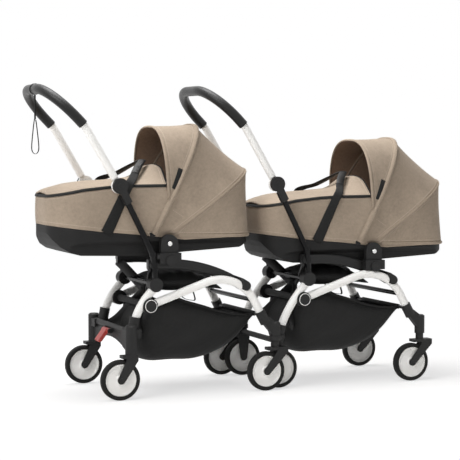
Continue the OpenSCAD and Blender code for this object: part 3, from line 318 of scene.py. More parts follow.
def woven(name, dark, light, yarn_mm, crease, stitch=None, **sockets):
    """A plain weave with uneven yarn, broad creases, and top stitching where a stitch colour is given."""
    made, tree, shader = finish(name, **sockets)
    thread = add(tree, "UVMap", uv_map="thread")
    per = 1000 / yarn_mm
    band = {"Vector": thread.outputs[0], "Scale": per * BAND_SCALE / 2}
    warp = add(tree, "TexWave", band, bands_direction="X")
    weft = add(tree, "TexWave", band, bands_direction="Y")
    over = add(tree, "TexChecker", {"Vector": thread.outputs[0], "Scale": per})
    weave = add(tree, "Mix", {0: over.outputs["Fac"], 2: warp.outputs["Fac"], 3: weft.outputs["Fac"]})
    slub = add(tree, "TexNoise", {"Vector": thread.outputs[0], "Scale": 90, "Detail": 6, "Roughness": 0.65})
    cloud = add(tree, "TexNoise", {"Vector": thread.outputs[0], "Scale": 9, "Detail": 3})
    mixed = add(tree, "Math", {0: slub.outputs["Fac"], 1: cloud.outputs["Fac"]}, operation="ADD")
    # Painted shade of the weave: each yarn is drawn lighter at its crest and darker where it dips under the
    # next.
    yarn_shade = add(tree, "Math", {0: weave.outputs[0], 1: 0.35}, operation="MULTIPLY")
    tint = add(tree, "Math", {0: mixed.outputs[0], 1: yarn_shade.outputs[0]}, operation="ADD")
    level = add(tree, "MapRange", {"Value": tint.outputs[0], "From Min": 0.75, "From Max": 1.6})
    tone = add(tree, "Mix", {0: level.outputs[0], 6: colour(dark), 7: colour(light)}, data_type="RGBA")
    last = tone.outputs[2]
    height = weave.outputs[0]
    if stitch:
        seam = add(tree, "Attribute", attribute_name="seam")
        run = add(tree, "Attribute", attribute_name="run")
        off = add(tree, "Math", {0: seam.outputs["Fac"], 1: STITCH_IN}, operation="SUBTRACT")
        near = add(tree, "Math", {0: off.outputs[0]}, operation="ABSOLUTE")
        line = add(tree, "MapRange", {"Value": near.outputs[0], "From Min": 0.0005, "From Max": 0.0011,
                                      "To Min": 1.0, "To Max": 0.0})
        step = add(tree, "Math", {0: run.outputs["Fac"], 1: STITCH_STEP}, operation="DIVIDE")
        part = add(tree, "Math", {0: step.outputs[0]}, operation="FRACT")
        dash = add(tree, "Math", {0: part.outputs[0], 1: STITCH_PART}, operation="LESS_THAN")
        sewn = add(tree, "Math", {0: line.outputs[0], 1: dash.outputs[0]}, operation="MULTIPLY")
        drawn = add(tree, "Mix", {0: sewn.outputs[0], 6: last, 7: colour(stitch)}, data_type="RGBA")
        raised = add(tree, "Math", {0: sewn.outputs[0], 1: 1.5}, operation="MULTIPLY")
        lifted = add(tree, "Math", {0: height, 1: raised.outputs[0]}, operation="ADD")
        last, height = drawn.outputs[2], lifted.outputs[0]
    tree.links.new(last, shader.inputs["Base Color"])
    soft = add(tree, "TexNoise", {"Vector": thread.outputs[0], "Scale": 13, "Detail": 2, "Distortion": 0.6})
    fold = add(tree, "Bump", {"Height": soft.outputs["Fac"], "Strength": crease, "Distance": 0.012})
    cloth = add(tree, "Bump", {"Height": height, "Normal": fold.outputs[0], "Strength": 0.22,
                               "Distance": 0.0006})
    tree.links.new(cloth.outputs[0], shader.inputs["Normal"])
    return made


print("recipe for weaves ready")

# %% [markdown]
# Five cloths share that recipe. They differ in colour, in the drawn width of the yarn and in their creases.

# %% Cloth finishes
# Polyester canvas: a matt, tightly woven outer cloth in taupe.
canvas = woven("polyester_canvas_taupe", "8E8071", "AC9C8A", 1.8, 0.08, "BDAF9E", Roughness=0.88,
               Sheen_Weight=0.06, Specular_IOR_Level=0.2)
# The hood's lining is a thinner dark brown cloth.
lining = woven("polyester_lining_brown", "746050", "967D6B", 1.6, 0.1, Roughness=0.85, Specular_IOR_Level=0.2)
# The basket is a coated black cloth with a ripstop look.
ripstop = woven("coated_polyester_black", "0D0D0D", "1C1C1B", 2.2, 0.3, "30302E", Roughness=0.7,
                Specular_IOR_Level=0.3)
# Webbing and binding are thick black ribbon weaves.
webbing = woven("polyester_webbing_black", "101010", "222221", 2.6, 0.05, Roughness=0.75,
                Specular_IOR_Level=0.25)
# Mattress ticking is undyed cotton.
ticking = woven("cotton_ticking_cream", "D6CFC2", "EAE5DB", 1.8, 0.2, "FFFFFF", Roughness=0.9,
                Sheen_Weight=0.1)
print("cloth finishes", 5)

# %% [markdown]
# A zip is two tapes and a row of teeth. Teeth are about 1.5 mm apart; they are drawn 3 mm apart, as ridges
# across the black band, so that the band still reads as a zip in a near view.

# %% Zip
zipper, tree, shader = finish("coil_zip_black", Roughness=0.6, Specular_IOR_Level=0.2)
thread = add(tree, "UVMap", uv_map="thread")
tooth = add(tree, "TexWave", {"Vector": thread.outputs[0], "Scale": BAND_SCALE / 0.003}, bands_direction="X")
# Painted highlight and shade: each tooth's ridge is drawn lighter and the gap between teeth darker.
tone = add(tree, "Mix", {0: tooth.outputs["Fac"], 6: colour("0B0B0B"), 7: colour("1C1C1B")}, data_type="RGBA")
tree.links.new(tone.outputs[2], shader.inputs["Base Color"])
ridge = add(tree, "Bump", {"Height": tooth.outputs["Fac"], "Strength": 0.4, "Distance": 0.0008})
tree.links.new(ridge.outputs[0], shader.inputs["Normal"])
print("zip ready")

# %% [markdown]
# ## Dress the hard pieces
# These solids already have the right shape, so each only takes its finish.

# %% Dress the hard pieces
HARD = {
    tube_white: ["arch_tubes", "rear_legs", "main_handle_tube", "lead_handle_tube"],
    tube_black: ["lower_tubes", "cross_tubes"],
    nylon: ["frame_hubs", "front_ferrules", "rear_axles", "handle_hubs", "cot_clamps", "link_arms",
            "main_cot_brackets", "lead_cot_brackets", "main_front_fork_right", "main_front_fork_left",
            "lead_front_fork_right", "lead_front_fork_left"],
    leather: ["armrests", "main_handle_grip", "lead_handle_grip"],
    shell_black: ["main_cot_tub", "lead_cot_tub"],
    abs_white: [n for n in nodes if "_disc_" in n] + ["main_release_button", "lead_release_button"],
    tyre_black: [n for n in nodes if "_tyre_" in n],
    abs_red: ["brake_pedal"],
}
for coat, names in HARD.items():
    for name in names:
        nodes[name].data.materials.clear()
        nodes[name].data.materials.append(coat)
        nodes[name].data.polygons.foreach_set("material_index", [0] * len(nodes[name].data.polygons))
print("dressed", sum(len(v) for v in HARD.values()), "of", len(nodes))

# %% [markdown]
# ## Cloth building blocks
# Sewn pieces are made from grids of points. A shell has an outer and an inner grid, like a cloth with its
# lining. It also writes the thread map and the distance to its seams, which the finishes need.

# %% Pieces and shells


def steps(points, axis):
    """Running length along one direction of a grid, in metres."""
    gaps = np.linalg.norm(np.diff(points, axis=axis), axis=2) / 1000
    pad = [(1, 0), (0, 0)] if axis == 0 else [(0, 0), (1, 0)]
    return np.pad(np.cumsum(gaps, axis=axis), pad)


def piece(name, points, faces, uv, spot, coats, which=None, seam=None, run=None):
    """A mesh object in metres with its thread map, smooth shading and finishes."""
    mesh = bpy.data.meshes.new(name)
    mesh.from_pydata(((points + spot) / 1000).tolist(), [], faces)
    layer = mesh.uv_layers.new(name="thread")
    corner = np.zeros(len(mesh.loops), np.int32)
    mesh.loops.foreach_get("vertex_index", corner)
    layer.data.foreach_set("uv", uv[corner].astype(np.float32).ravel())
    for label, values in (("seam", seam), ("run", run)):
        if values is not None:
            mesh.attributes.new(label, "FLOAT", "POINT").data.foreach_set("value", values.astype(np.float32))
    for coat in coats:
        mesh.materials.append(coat)
    if which is not None:
        mesh.polygons.foreach_set("material_index", which)
    mesh.polygons.foreach_set("use_smooth", [True] * len(mesh.polygons))
    mesh.update()
    made = bpy.data.objects.new(name, mesh)
    scene.collection.objects.link(made)
    return made


def shell(name, outer, inner, spot, coats, wrap=False):
    """Two grids of the same size joined round their edges: cloth with a lining."""
    rows, cols = outer.shape[:2]
    points = np.concatenate([outer.reshape(-1, 3), inner.reshape(-1, 3)])
    last = cols if wrap else cols - 1
    faces, which, back = [], [], rows * cols
    for r in range(rows - 1):
        for c in range(last):
            a, b = r * cols + c, r * cols + (c + 1) % cols
            faces.append((a, b, b + cols, a + cols))
            faces.append((back + a, back + a + cols, back + b + cols, back + b))
            which += [0, len(coats) - 1]
    for c in range(last):
        a, b = c, (c + 1) % cols
        faces.append((a, back + a, back + b, b))
        a, b = a + (rows - 1) * cols, b + (rows - 1) * cols
        faces.append((b, back + b, back + a, a))
        which += [0, 0]
    if not wrap:
        for r in range(rows - 1):
            a, b = r * cols, (r + 1) * cols
            faces.append((b, back + b, back + a, a))
            a, b = a + cols - 1, b + cols - 1
            faces.append((a, back + a, back + b, b))
            which += [0, 0]
    u, v = steps(outer, 1), steps(outer, 0)
    uv = np.stack([u, v], axis=2).reshape(-1, 2)
    seam = np.minimum(v, v[-1:] - v).reshape(-1)
    no_seam = np.full(len(seam), 9.0)
    return piece(name, points, faces, np.concatenate([uv, uv]), spot, coats, which,
                 np.concatenate([seam, no_seam]), np.concatenate([u.reshape(-1)] * 2))


print("shells ready")

# %% [markdown]
# A sweep drags an oval along a line. It makes zips, piping, hems and the sleeves of the hood's bows.

# %% Sweep


def sweep(name, line, out, half_w, half_h, spot, coat, sides=12, wrap=False):
    """An oval dragged along a line; out points away from the cloth that the oval lies on."""
    line, out = np.asarray(line, float), np.asarray(out, float)
    ahead = np.roll(line, -1, 0) - np.roll(line, 1, 0) if wrap else np.gradient(line, axis=0)
    ahead /= np.linalg.norm(ahead, axis=1, keepdims=True)
    out = out - (out * ahead).sum(1, keepdims=True) * ahead
    out /= np.linalg.norm(out, axis=1, keepdims=True)
    side = np.cross(ahead, out)
    half_w = np.broadcast_to(half_w, (len(line),))[:, None]
    half_h = np.broadcast_to(half_h, (len(line),))[:, None]
    turn = np.linspace(0, 2 * math.pi, sides, endpoint=False)
    grid = np.stack([line + side * half_w * math.cos(t) + out * half_h * math.sin(t) for t in turn], axis=1)
    count = len(line)
    faces = []
    for i in range(count if wrap else count - 1):
        for k in range(sides):
            a, b = i * sides + k, i * sides + (k + 1) % sides
            c, d = (i + 1) % count * sides + (k + 1) % sides, (i + 1) % count * sides + k
            faces.append((a, d, c, b))
    if not wrap:
        faces += [tuple(range(sides)), tuple(range((count - 1) * sides, count * sides))[::-1]]
    u = np.repeat(steps(line[None], 1)[0], sides)
    v = np.tile(turn * (half_w.mean() + half_h.mean()) / 2000, count)
    return piece(name, grid.reshape(-1, 3), faces, np.stack([u, v], axis=1), spot, [coat])


print("sweep ready")

# %% [markdown]
# Two more helpers shape the cloth: the outward normals of a grid, along which a cloth can swell or sink, and
# a soft curve through a few given points.

# %% Normals and curves


def facing(grid, heart):
    """Unit normals of a grid that point away from a middle point."""
    across = np.cross(np.gradient(grid, axis=0), np.gradient(grid, axis=1))
    across /= np.maximum(np.linalg.norm(across, axis=2, keepdims=True), 1e-9)
    flip = np.sign(((grid - heart) * across).sum(2, keepdims=True))
    return across * np.where(flip == 0, 1, flip)


def smooth(points, count):
    """A soft curve through given points, at even steps."""
    points = np.asarray(points, float)
    ends = np.vstack([2 * points[0] - points[1], points, 2 * points[-1] - points[-2]])
    fine = []
    for i in range(len(points) - 1):
        a, b, c, d = ends[i : i + 4]
        for t in np.linspace(0, 1, 24, endpoint=False):
            fine.append(0.5 * (2 * b + (c - a) * t + (2 * a - 5 * b + 4 * c - d) * t * t
                               + (3 * b - a - 3 * c + d) * t ** 3))
    fine = np.array(fine + [points[-1]])
    length = np.concatenate([[0], np.cumsum(np.linalg.norm(np.diff(fine, axis=0), axis=1))])
    want = np.linspace(0, length[-1], count)
    return np.stack([np.interp(want, length, fine[:, k]) for k in range(points.shape[1])], axis=1)


print("normals and curves ready")

# %% [markdown]
# A strap, a band or a sewn label is a flat ribbon: a line with a width and a thickness.

# %% Ribbon


def ribbon(name, line, wide, thick, flat, spot, coat):
    """A flat strap along a line; flat points out of its face, wide is its half width at each point."""
    line, flat = np.asarray(line, float), np.asarray(flat, float)
    ahead = np.gradient(line, axis=0)
    ahead /= np.linalg.norm(ahead, axis=1, keepdims=True)
    flat = flat - (flat * ahead).sum(1, keepdims=True) * ahead
    flat /= np.linalg.norm(flat, axis=1, keepdims=True)
    side = np.cross(flat, ahead)
    wide = np.broadcast_to(wide, (len(line),))[:, None]
    across = np.linspace(-1, 1, 7)
    bulge = thick / 2 * (1 - 0.5 * np.abs(across) ** 6)
    outer = np.stack([line + side * wide * a + flat * b for a, b in zip(across, bulge)], axis=1)
    inner = np.stack([line + side * wide * a - flat * b for a, b in zip(across, bulge)], axis=1)
    return shell(name, outer, inner, spot, [coat])


print("ribbon ready")

# %% [markdown]
# ## Cot walls
# The wall is a padded band that runs right round the cot. It starts behind the lip of the black shell and
# ends in a soft roll at the rim. A closed section of points is carried round the plan of the cot; its outer
# face swells a little between the two seams, as padding does.

# %% Cot walls
COT_Y, COT_X0, COT_X1, CORNER, WALL, ROLL = 166.0, -285.0, 440.0, 120.0, 8.0, 4
TUB_TOP = np.array([[-290, 582], [-134, 562], [12, 548], [171, 528], [445, 536]], float)
RIM = np.array([[-290, 680], [-186, 702], [-94, 711], [-24, 714], [107, 714], [116, 650], [200, 596],
                [250, 550], [445, 550]], float)


def plan(count):
    """Points and outward directions round the cot's plan, from the head end."""
    corners = [(COT_X1 - CORNER, COT_Y - CORNER, 0), (COT_X0 + CORNER, COT_Y - CORNER, 90),
               (COT_X0 + CORNER, -COT_Y + CORNER, 180), (COT_X1 - CORNER, -COT_Y + CORNER, 270)]
    path, away = [], []
    for x, y, start in corners:
        for a in np.radians(np.linspace(start, start + 90, 40)):
            path.append((x + CORNER * math.cos(a), y + CORNER * math.sin(a)))
            away.append((math.cos(a), math.sin(a)))
    path, away = np.array(path + path[:1]), np.array(away + away[:1])
    length = np.concatenate([[0], np.cumsum(np.linalg.norm(np.diff(path, axis=0), axis=1))])
    want = np.linspace(0, length[-1], count, endpoint=False)
    path = np.stack([np.interp(want, length, path[:, k]) for k in range(2)], axis=1)
    away = np.stack([np.interp(want, length, away[:, k]) for k in range(2)], axis=1)
    return path, away / np.linalg.norm(away, axis=1, keepdims=True)


path, away = plan(288)
low = np.interp(path[:, 0], TUB_TOP[:, 0], TUB_TOP[:, 1]) + 0.4
top = np.interp(path[:, 0], RIM[:, 0], RIM[:, 1])
along = np.arange(len(path)) * 2 * math.pi / len(path)
section = []
for t in np.linspace(0, 1, 12):
    puffed = 2.6 * math.sin(math.pi * min(1, t * 1.04)) ** 0.7
    swell = 0.3 + puffed + 0.5 * np.sin(along * 9) * math.sin(math.pi * t)
    section.append((swell, low + (top - ROLL - low) * t))
for a in np.radians([30, 60, 90, 120, 150]):
    out = -WALL / 2 + (WALL / 2 + 0.3) * math.cos(a)
    section.append((np.full(len(path), out), top - ROLL + ROLL * math.sin(a)))
for t in np.linspace(1, 0, 8):
    section.append((np.full(len(path), -WALL - 0.6 * math.sin(math.pi * t)), low + (top - ROLL - low) * t))
ring = np.stack([np.column_stack([path + away * np.asarray(o)[:, None], z]) for o, z in section], axis=1)
sides = ring.shape[1]
count = ring.shape[0]
wall_faces = [(i * sides + k, i * sides + (k + 1) % sides, (i + 1) % count * sides + (k + 1) % sides,
               (i + 1) % count * sides + k) for i in range(count) for k in range(sides)]
u = np.repeat(np.concatenate([[0], np.cumsum(np.linalg.norm(np.diff(path, axis=0), axis=1))]) / 1000, sides)
v = (ring[:, :, 2] - low[:, None]).reshape(-1) / 1000
wall_uv = np.stack([u, v], axis=1)
tall = np.repeat((top - low) / 1000, sides)
wall_seam = np.where(np.tile(np.arange(sides) < 12, count), np.minimum(v, tall - v), 9)
for unit, spot in COTS.items():
    wall = piece(unit + "_wall_padding", ring.reshape(-1, 3), wall_faces, wall_uv, spot, [canvas],
                 seam=wall_seam, run=u)
    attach(wall, unit + "_cot")
    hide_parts(unit + "_cot_walls")
print("wall points", len(ring.reshape(-1, 3)))

# %% [markdown]
# A black zip runs along the rim and holds the apron. It starts under the hood on one side, goes round the
# foot end, and comes back on the other side.

# %% Rim zip
foot_part = np.where(path[:, 0] < 104)[0]
zip_line = np.column_stack([path + away * 0.1, top - 1.5])[foot_part]
zip_out = np.column_stack([away, np.full(len(path), 0.55)])[foot_part]
for unit, spot in COTS.items():
    band = sweep(unit + "_rim_zip", zip_line, zip_out, 5.6, 2.0, spot, zipper)
    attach(band, unit + "_cot")
print("zip length", round(float(steps(zip_line[None], 1)[0, -1]), 3), "m")

# %% [markdown]
# ## Apron
# The apron closes the foot half of the cot. It is tight over the legs and stands up at its free edge as a
# wind flap, which leans into the mouth of the hood. One grid gives the whole cloth: across it the height
# follows a flat crown, along it the crown grows towards the flap.

# %% Apron
AX = np.array([-284, -273, -249, -213, -186, -140, -94, -24, 30, 62, 84, 99, 107], float)
RISE = np.array([6, 10, 13, 14, 14, 14, 14, 15, 20, 34, 52, 62, 64], float)


def half_at(x):
    """Half the cot's width at a distance along it."""
    inside = np.clip(COT_X0 + CORNER - x, 0, CORNER)
    return COT_Y - CORNER + np.sqrt(np.maximum(0, CORNER ** 2 - inside ** 2))


xs = np.concatenate([np.linspace(-284, -240, 12, endpoint=False), np.linspace(-240, 30, 34, endpoint=False),
                     np.linspace(30, 107, 20)])
vs = np.sin(np.linspace(-math.pi / 2, math.pi / 2, 49))
X, V = np.meshgrid(xs, vs, indexing="ij")
crown = 1 - np.abs(V) ** 2.2
rise = smooth(np.column_stack([AX, RISE]), 400)
lift = np.interp(X, rise[:, 0], rise[:, 1])
Y = V * (half_at(X) - 1.5)
flap = np.clip((X - 50) / 57, 0, 1)
ripple = 0.9 * np.sin(X / 23 + 1.5 * np.sin(V * 3)) * crown + 1.6 * np.sin(Y / 17 + X / 40) * flap * crown
Z = np.interp(X, RIM[:, 0], RIM[:, 1]) + 0.6 + lift * crown + ripple
lean = 14 * np.exp(-(((Y + 55) / 60) ** 2)) * flap ** 2 - 8 * np.exp(-(((Y - 60) / 70) ** 2)) * flap ** 2
apron_top = np.stack([X + lean, Y, Z + 3.6], axis=2)
apron_low = np.stack([X + lean - 2.4 * flap, Y * 0.995, Z + 0.4], axis=2)
for unit, spot in COTS.items():
    apron = shell(unit + "_apron_cloth", apron_top, apron_low, spot, [canvas, lining])
    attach(apron, unit + "_cot")
    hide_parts(unit + "_cot_apron")
    hem_line, hem_out = apron_top[-1] - np.array([0, 0, 1.6]), np.tile([0.3, 0, 1.0], (len(vs), 1))
    edge = sweep(unit + "_flap_hem", hem_line, hem_out, 3.4, 3.0, spot, webbing, 10)
    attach(edge, unit + "_cot")
print("apron", apron_top.shape)

# %% [markdown]
# ## Hood
# Three bows carry the hood: the visor's rim, the front bow that turns on the side pins, and a rear bow.
# Cloth between two bows is tight along them and sinks a little between them. So each panel is a grid that
# runs from one bow to the next and is pulled in along its own normal by a few millimetres.
# The visor moves with the front bow and the rear panel stays with the cot; the panel between them is attached
# to neither.

# %% Hood bows
HOOD_Y, HOOD_Z, PIVOT = 173.0, 920.0, (55.0, 550.0)
POWER, BOW_LEAN, VISOR_FOOT, HEM_START = 2.8, 201, 664, 146
FAN_FOOT, FAN_BACK, FAN_TOP = 122, 448, 766
HEART = np.array([230.0, 0, 640.0])
turn = np.linspace(0, math.pi, 97)
BOW_H = np.abs(np.sin(turn)) ** (2 / POWER)
BOW_S = np.sign(np.round(turn - math.pi / 2, 9))
BOW_C = BOW_S * np.abs(np.cos(turn)) ** (2 / POWER)
FOOT_SHARE = (VISOR_FOOT - PIVOT[1]) / (HOOD_Z - PIVOT[1])


def round_at(h):
    """Half width of a bow at a share of its height."""
    return np.maximum(0, 1 - h ** POWER) ** (1 / POWER)


def rim_bow(d):
    """The visor's rim, drawn in by d."""
    return np.column_stack([113 - 11 * BOW_H, (HOOD_Y * round_at(FOOT_SHARE) - d) * BOW_C,
                            VISOR_FOOT + (HOOD_Z - 6 - d - VISOR_FOOT) * BOW_H])


def top_bow(d):
    """The part of the front bow above the visor's foot."""
    h = FOOT_SHARE + (1 - FOOT_SHARE) * BOW_H
    return np.column_stack([PIVOT[0] + BOW_LEAN * h, (HOOD_Y - d) * BOW_S * round_at(h),
                            PIVOT[1] + (HOOD_Z - d - PIVOT[1]) * h])


def front_bow(d):
    """The whole front bow, which turns on the side pins."""
    return np.column_stack([PIVOT[0] + BOW_LEAN * BOW_H + 1.2, (HOOD_Y - d) * BOW_C,
                            PIVOT[1] + (HOOD_Z - d - PIVOT[1]) * BOW_H])


def fan_bow(d):
    """The rear bow, between the panel that folds and the panel that stays."""
    return np.column_stack([FAN_FOOT + (FAN_BACK - d - FAN_FOOT) * BOW_H, (HOOD_Y - d) * BOW_C,
                            PIVOT[1] + (FAN_TOP - d - PIVOT[1]) * BOW_H])


def hem_bow(d):
    """The hood's lower edge, once round the head end of the cot."""
    run_x, arc = COT_X1 - CORNER - HEM_START, CORNER * math.pi / 2
    whole = run_x + arc + COT_Y - CORNER
    share = 1 - np.abs(turn - math.pi / 2) / (math.pi / 2)
    s = share * whole
    a = np.clip((s - run_x) / CORNER, 0, math.pi / 2)
    x = np.where(s < run_x, HEM_START + s, COT_X1 - CORNER + CORNER * np.sin(a))
    y = np.where(s < run_x + arc, COT_Y - CORNER + CORNER * np.cos(a), whole - s)
    grow = 6.5 - d
    return np.column_stack([x + grow * np.sin(a), BOW_S * (y + grow * np.cos(a)), PIVOT[1] - 8 - 8 * share])


def panel(first, second, rows, sag, wrinkle, thick=2.4):
    """Outer and inner grid of the cloth between two bows."""
    share = np.linspace(0, 1, rows)[:, None, None]
    grid = first(0)[None] * (1 - share) + second(0)[None] * share
    span = np.linalg.norm(first(0) - second(0), axis=1)[None, :, None]
    normal = facing(grid, HEART)
    dip = 4 * share * (1 - share) * np.minimum(1, span / 120)
    pull = sag * dip + wrinkle * dip * np.sin(turn * 11 + 5 * share[:, :, 0])[:, :, None] * 0.5
    outer = grid - normal * pull
    return outer, outer - normal * thick


print("bows", len(turn), "points each")

# %% [markdown]
# The seams are covered by sleeves that hold the bows. The front sleeve is broad and stands proud; the rear
# one is a narrow ridge. The rim and the lower edge end in rolled hems.

# %% Hood panels and sleeves
parts = {
    "visor": (rim_bow, top_bow, 14, 2.0, 0.8),
    "panel": (front_bow, fan_bow, 22, 8.0, 1.6),
    "rear": (fan_bow, hem_bow, 20, 3.5, 1.4),
}
grids = {key: panel(*value) for key, value in parts.items()}
for unit, spot in COTS.items():
    visor = shell(unit + "_hood_visor_cloth", *grids["visor"], spot, [canvas, lining])
    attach(visor, unit + "_hood")
    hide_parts(unit + "_hood_visor")
    middle = shell(unit + "_hood_middle_cloth", *grids["panel"], spot, [canvas, lining])
    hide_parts(unit + "_hood_panel")
    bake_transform(middle)
    rear = shell(unit + "_hood_rear_cloth", *grids["rear"], spot, [canvas, lining])
    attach(rear, unit + "_cot")
    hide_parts(unit + "_hood_rear_panel")
    lines = {
        "hood_rim_hem": (rim_bow(1.5), 5.0, 3.2, "_hood"),
        "hood_front_sleeve": (front_bow(0), 8.5, 3.2, "_hood"),
        "hood_rear_sleeve": (fan_bow(0.6), 4.2, 2.4, "_cot"),
        "hood_lower_hem": (hem_bow(0), 5.5, 3.4, "_cot"),
    }
    for label, (line, wide, high, body) in lines.items():
        roll = sweep(unit + "_" + label, line, line - HEART, wide, high, spot, canvas)
        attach(roll, unit + body)
    row = grids["visor"][0][10]
    outward = facing(grids["visor"][0], HEART)[10, 8]
    part = row[(row[:, 1] < 0) & (row[:, 2] > 694) & (row[:, 2] < 772)]
    part = smooth(part, 24) + outward * 1.2
    patch = ribbon(unit + "_hood_label", part, 8.5, 1.2, np.tile(outward, (24, 1)), spot, webbing)
    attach(patch, unit + "_hood")
print("hood grids", {k: v[0].shape for k, v in grids.items()})

# %% [markdown]
# ## Mattress
# The mattress is a foam pad in a cotton cover. A slightly small block with rounded corners is remeshed and
# blown up by the cloth simulation, with a cap on how far any point may move, so it crowns like real foam.

# %% Mattress


def puff(made, voxel, pressure, frames, cap):
    """Remeshes a pad and lets cloth pressure swell it, at most by the cap."""
    bpy.context.view_layer.objects.active = made
    even = made.modifiers.new("even", "REMESH")
    even.mode, even.voxel_size = "VOXEL", voxel
    bpy.ops.object.modifier_apply(modifier="even")
    mesh = made.data
    before = np.array([v.co for v in mesh.vertices])
    cloth = made.modifiers.new("swell", "CLOTH")
    cloth.settings.use_pressure = True
    cloth.settings.uniform_pressure_force = pressure
    cloth.settings.effector_weights.gravity = 0
    cloth.settings.quality = 4
    for number in range(1, frames + 1):
        scene.frame_set(number)
    solved = made.evaluated_get(bpy.context.evaluated_depsgraph_get()).data
    after = np.array([v.co for v in solved.vertices])
    made.modifiers.remove(cloth)
    move = after - before
    far = np.linalg.norm(move, axis=1, keepdims=True)
    move *= np.minimum(1, cap / np.maximum(far, 1e-9))
    mesh.vertices.foreach_set("co", (before + move).astype(np.float32).ravel())
    scene.frame_set(1)
    mesh.update()
    return np.array([v.co for v in mesh.vertices])


# The pad stops where the tub's foot slopes up, and lies on the tub's floor.
INSET, PAD_FOOT, FLOOR_Z = 30.0, -204, 0.4985
pad_path, pad_away = plan(160)
pad_path = pad_path - pad_away * INSET
pad_path[:, 0] = np.maximum(pad_path[:, 0], PAD_FOOT)
block = []
for o, z in ((-10, 499), (0, 502), (2, 512), (0, 522), (-14, 528), (-60, 531), (-110, 533)):
    block.append(np.column_stack([pad_path + pad_away * o, np.full(len(pad_path), z)]))
block = np.stack(block, axis=0)
rows, cols = block.shape[:2]
pad_faces = [(r * cols + c, r * cols + (c + 1) % cols, (r + 1) * cols + (c + 1) % cols, (r + 1) * cols + c)
             for r in range(rows - 1) for c in range(cols)]
pad_faces += [tuple(range(cols))[::-1], tuple(range((rows - 1) * cols, rows * cols))]
flat = block.reshape(-1, 3)
pad = piece("main_mattress_pad", flat, pad_faces, flat[:, :2] / 1000, MAIN, [ticking])
settled = puff(pad, 0.007, 4.0, 16, 0.005)
settled[:, 2] = np.maximum(settled[:, 2], FLOOR_Z)
pad.data.vertices.foreach_set("co", settled.astype(np.float32).ravel())
layer = pad.data.uv_layers.get("thread") or pad.data.uv_layers.new(name="thread")
corner = np.zeros(len(pad.data.loops), np.int32)
pad.data.loops.foreach_get("vertex_index", corner)
layer.data.foreach_set("uv", settled[corner][:, :2].astype(np.float32).ravel())
if not pad.data.materials:
    pad.data.materials.append(ticking)
pad.data.polygons.foreach_set("use_smooth", [True] * len(pad.data.polygons))
twin = bpy.data.objects.new("lead_mattress_pad", pad.data.copy())
scene.collection.objects.link(twin)
twin.data.transform(Matrix.Translation(Vector((LEAD_COT - MAIN) / 1000)))
for unit, made in (("main", pad), ("lead", twin)):
    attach(made, unit + "_cot")
    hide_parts(unit + "_mattress")
print("mattress points", len(settled), "top", round(float(settled[:, 2].max()), 4))

# %% [markdown]
# ## Carry strap
# Two wide webbing legs are sewn to the cot's sides and meet above the middle, where a wrap keeps them
# together. A strap is a flat ribbon, so it is made directly as one: a line with a width and a thickness.

# %% Carry strap
leg = np.array([[-109, 169.0, 556], [-87, 169.4, 600], [-63, 169.6, 650], [-32, 170, 712], [-22, 166, 727],
                [-8, 144, 737], [14, 100, 748], [44, 50, 773], [68, 18, 791], [78, 0, 796]], float)
strap_line = smooth(np.vstack([leg * [1, -1, 1], leg[-2::-1]]), 121)
strap_t = np.abs(np.linspace(-1, 1, 121))
strap_wide = np.interp(strap_t, [0, 0.45, 0.62, 0.75, 1], [13.5, 14, 15.5, 17.5, 20])
strap_flat = np.column_stack([np.zeros(121), strap_line[:, 1] * 1.0, np.full(121, 60.0)])
strap_flat[:, 1] = np.where(strap_t > 0.62, np.sign(strap_line[:, 1]) * 170, strap_flat[:, 1] * 0.5)
strap_flat[:, 2] = np.interp(strap_t, [0, 0.5, 0.66, 0.8, 1], [60, 60, 30, 2, 0])
wrap_part = np.where(strap_t < 0.3)[0]
for unit, spot in COTS.items():
    strap = ribbon(unit + "_carry_webbing", strap_line, strap_wide, 2.0, strap_flat, spot, webbing)
    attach(strap, unit + "_cot")
    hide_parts(unit + "_carry_strap")
    wrap = sweep(unit + "_carry_wrap", strap_line[wrap_part], strap_flat[wrap_part], 13.5, 4.2, spot,
                 leather, 14)
    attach(wrap, unit + "_cot")
print("strap length", round(float(steps(strap_line[None], 1)[0, -1]), 3), "m")

# %% [markdown]
# ## Seat cloth
# Under the cot the pushchair's own seat is folded flat: a dark pad with slack folds across it, held by short
# bands to a cross tube behind it and to the arch tubes. A thin pull strap hangs below it.

# %% Seat cloth
SEAT_TOP = smooth([[98, 394], [120, 408], [170, 415], [225, 412], [280, 394], [308, 374], [324, 356]], 61)
SEAT_LOW = smooth([[96, 384], [104, 356], [160, 347], [225, 352], [275, 354], [303, 352], [323, 350]], 61)
ys = np.linspace(-126, 126, 33)
S, YS = np.meshgrid(np.linspace(0, 1, 61), ys, indexing="ij")
slack = np.sin(S * math.pi) * np.sqrt(1 - (YS / 127) ** 2)
folds = (2.4 * np.sin(S * 38 + 0.9 * np.sin(YS / 33)) + 1.5 * np.sin(S * 19 + YS / 45)) * slack
edge = 1 - np.abs(YS / 128) ** 5
middle = (SEAT_TOP + SEAT_LOW) / 2
seat_top_z = middle[:, 1:] + (SEAT_TOP - middle)[:, 1:] * edge + folds
seat_low_z = middle[:, 1:] + (SEAT_LOW - middle)[:, 1:] * edge - 1
seat_top = np.stack([np.repeat(SEAT_TOP[:, :1], 33, 1), YS, seat_top_z], axis=2)
seat_low = np.stack([np.repeat(SEAT_LOW[:, :1], 33, 1), YS, seat_low_z], axis=2)
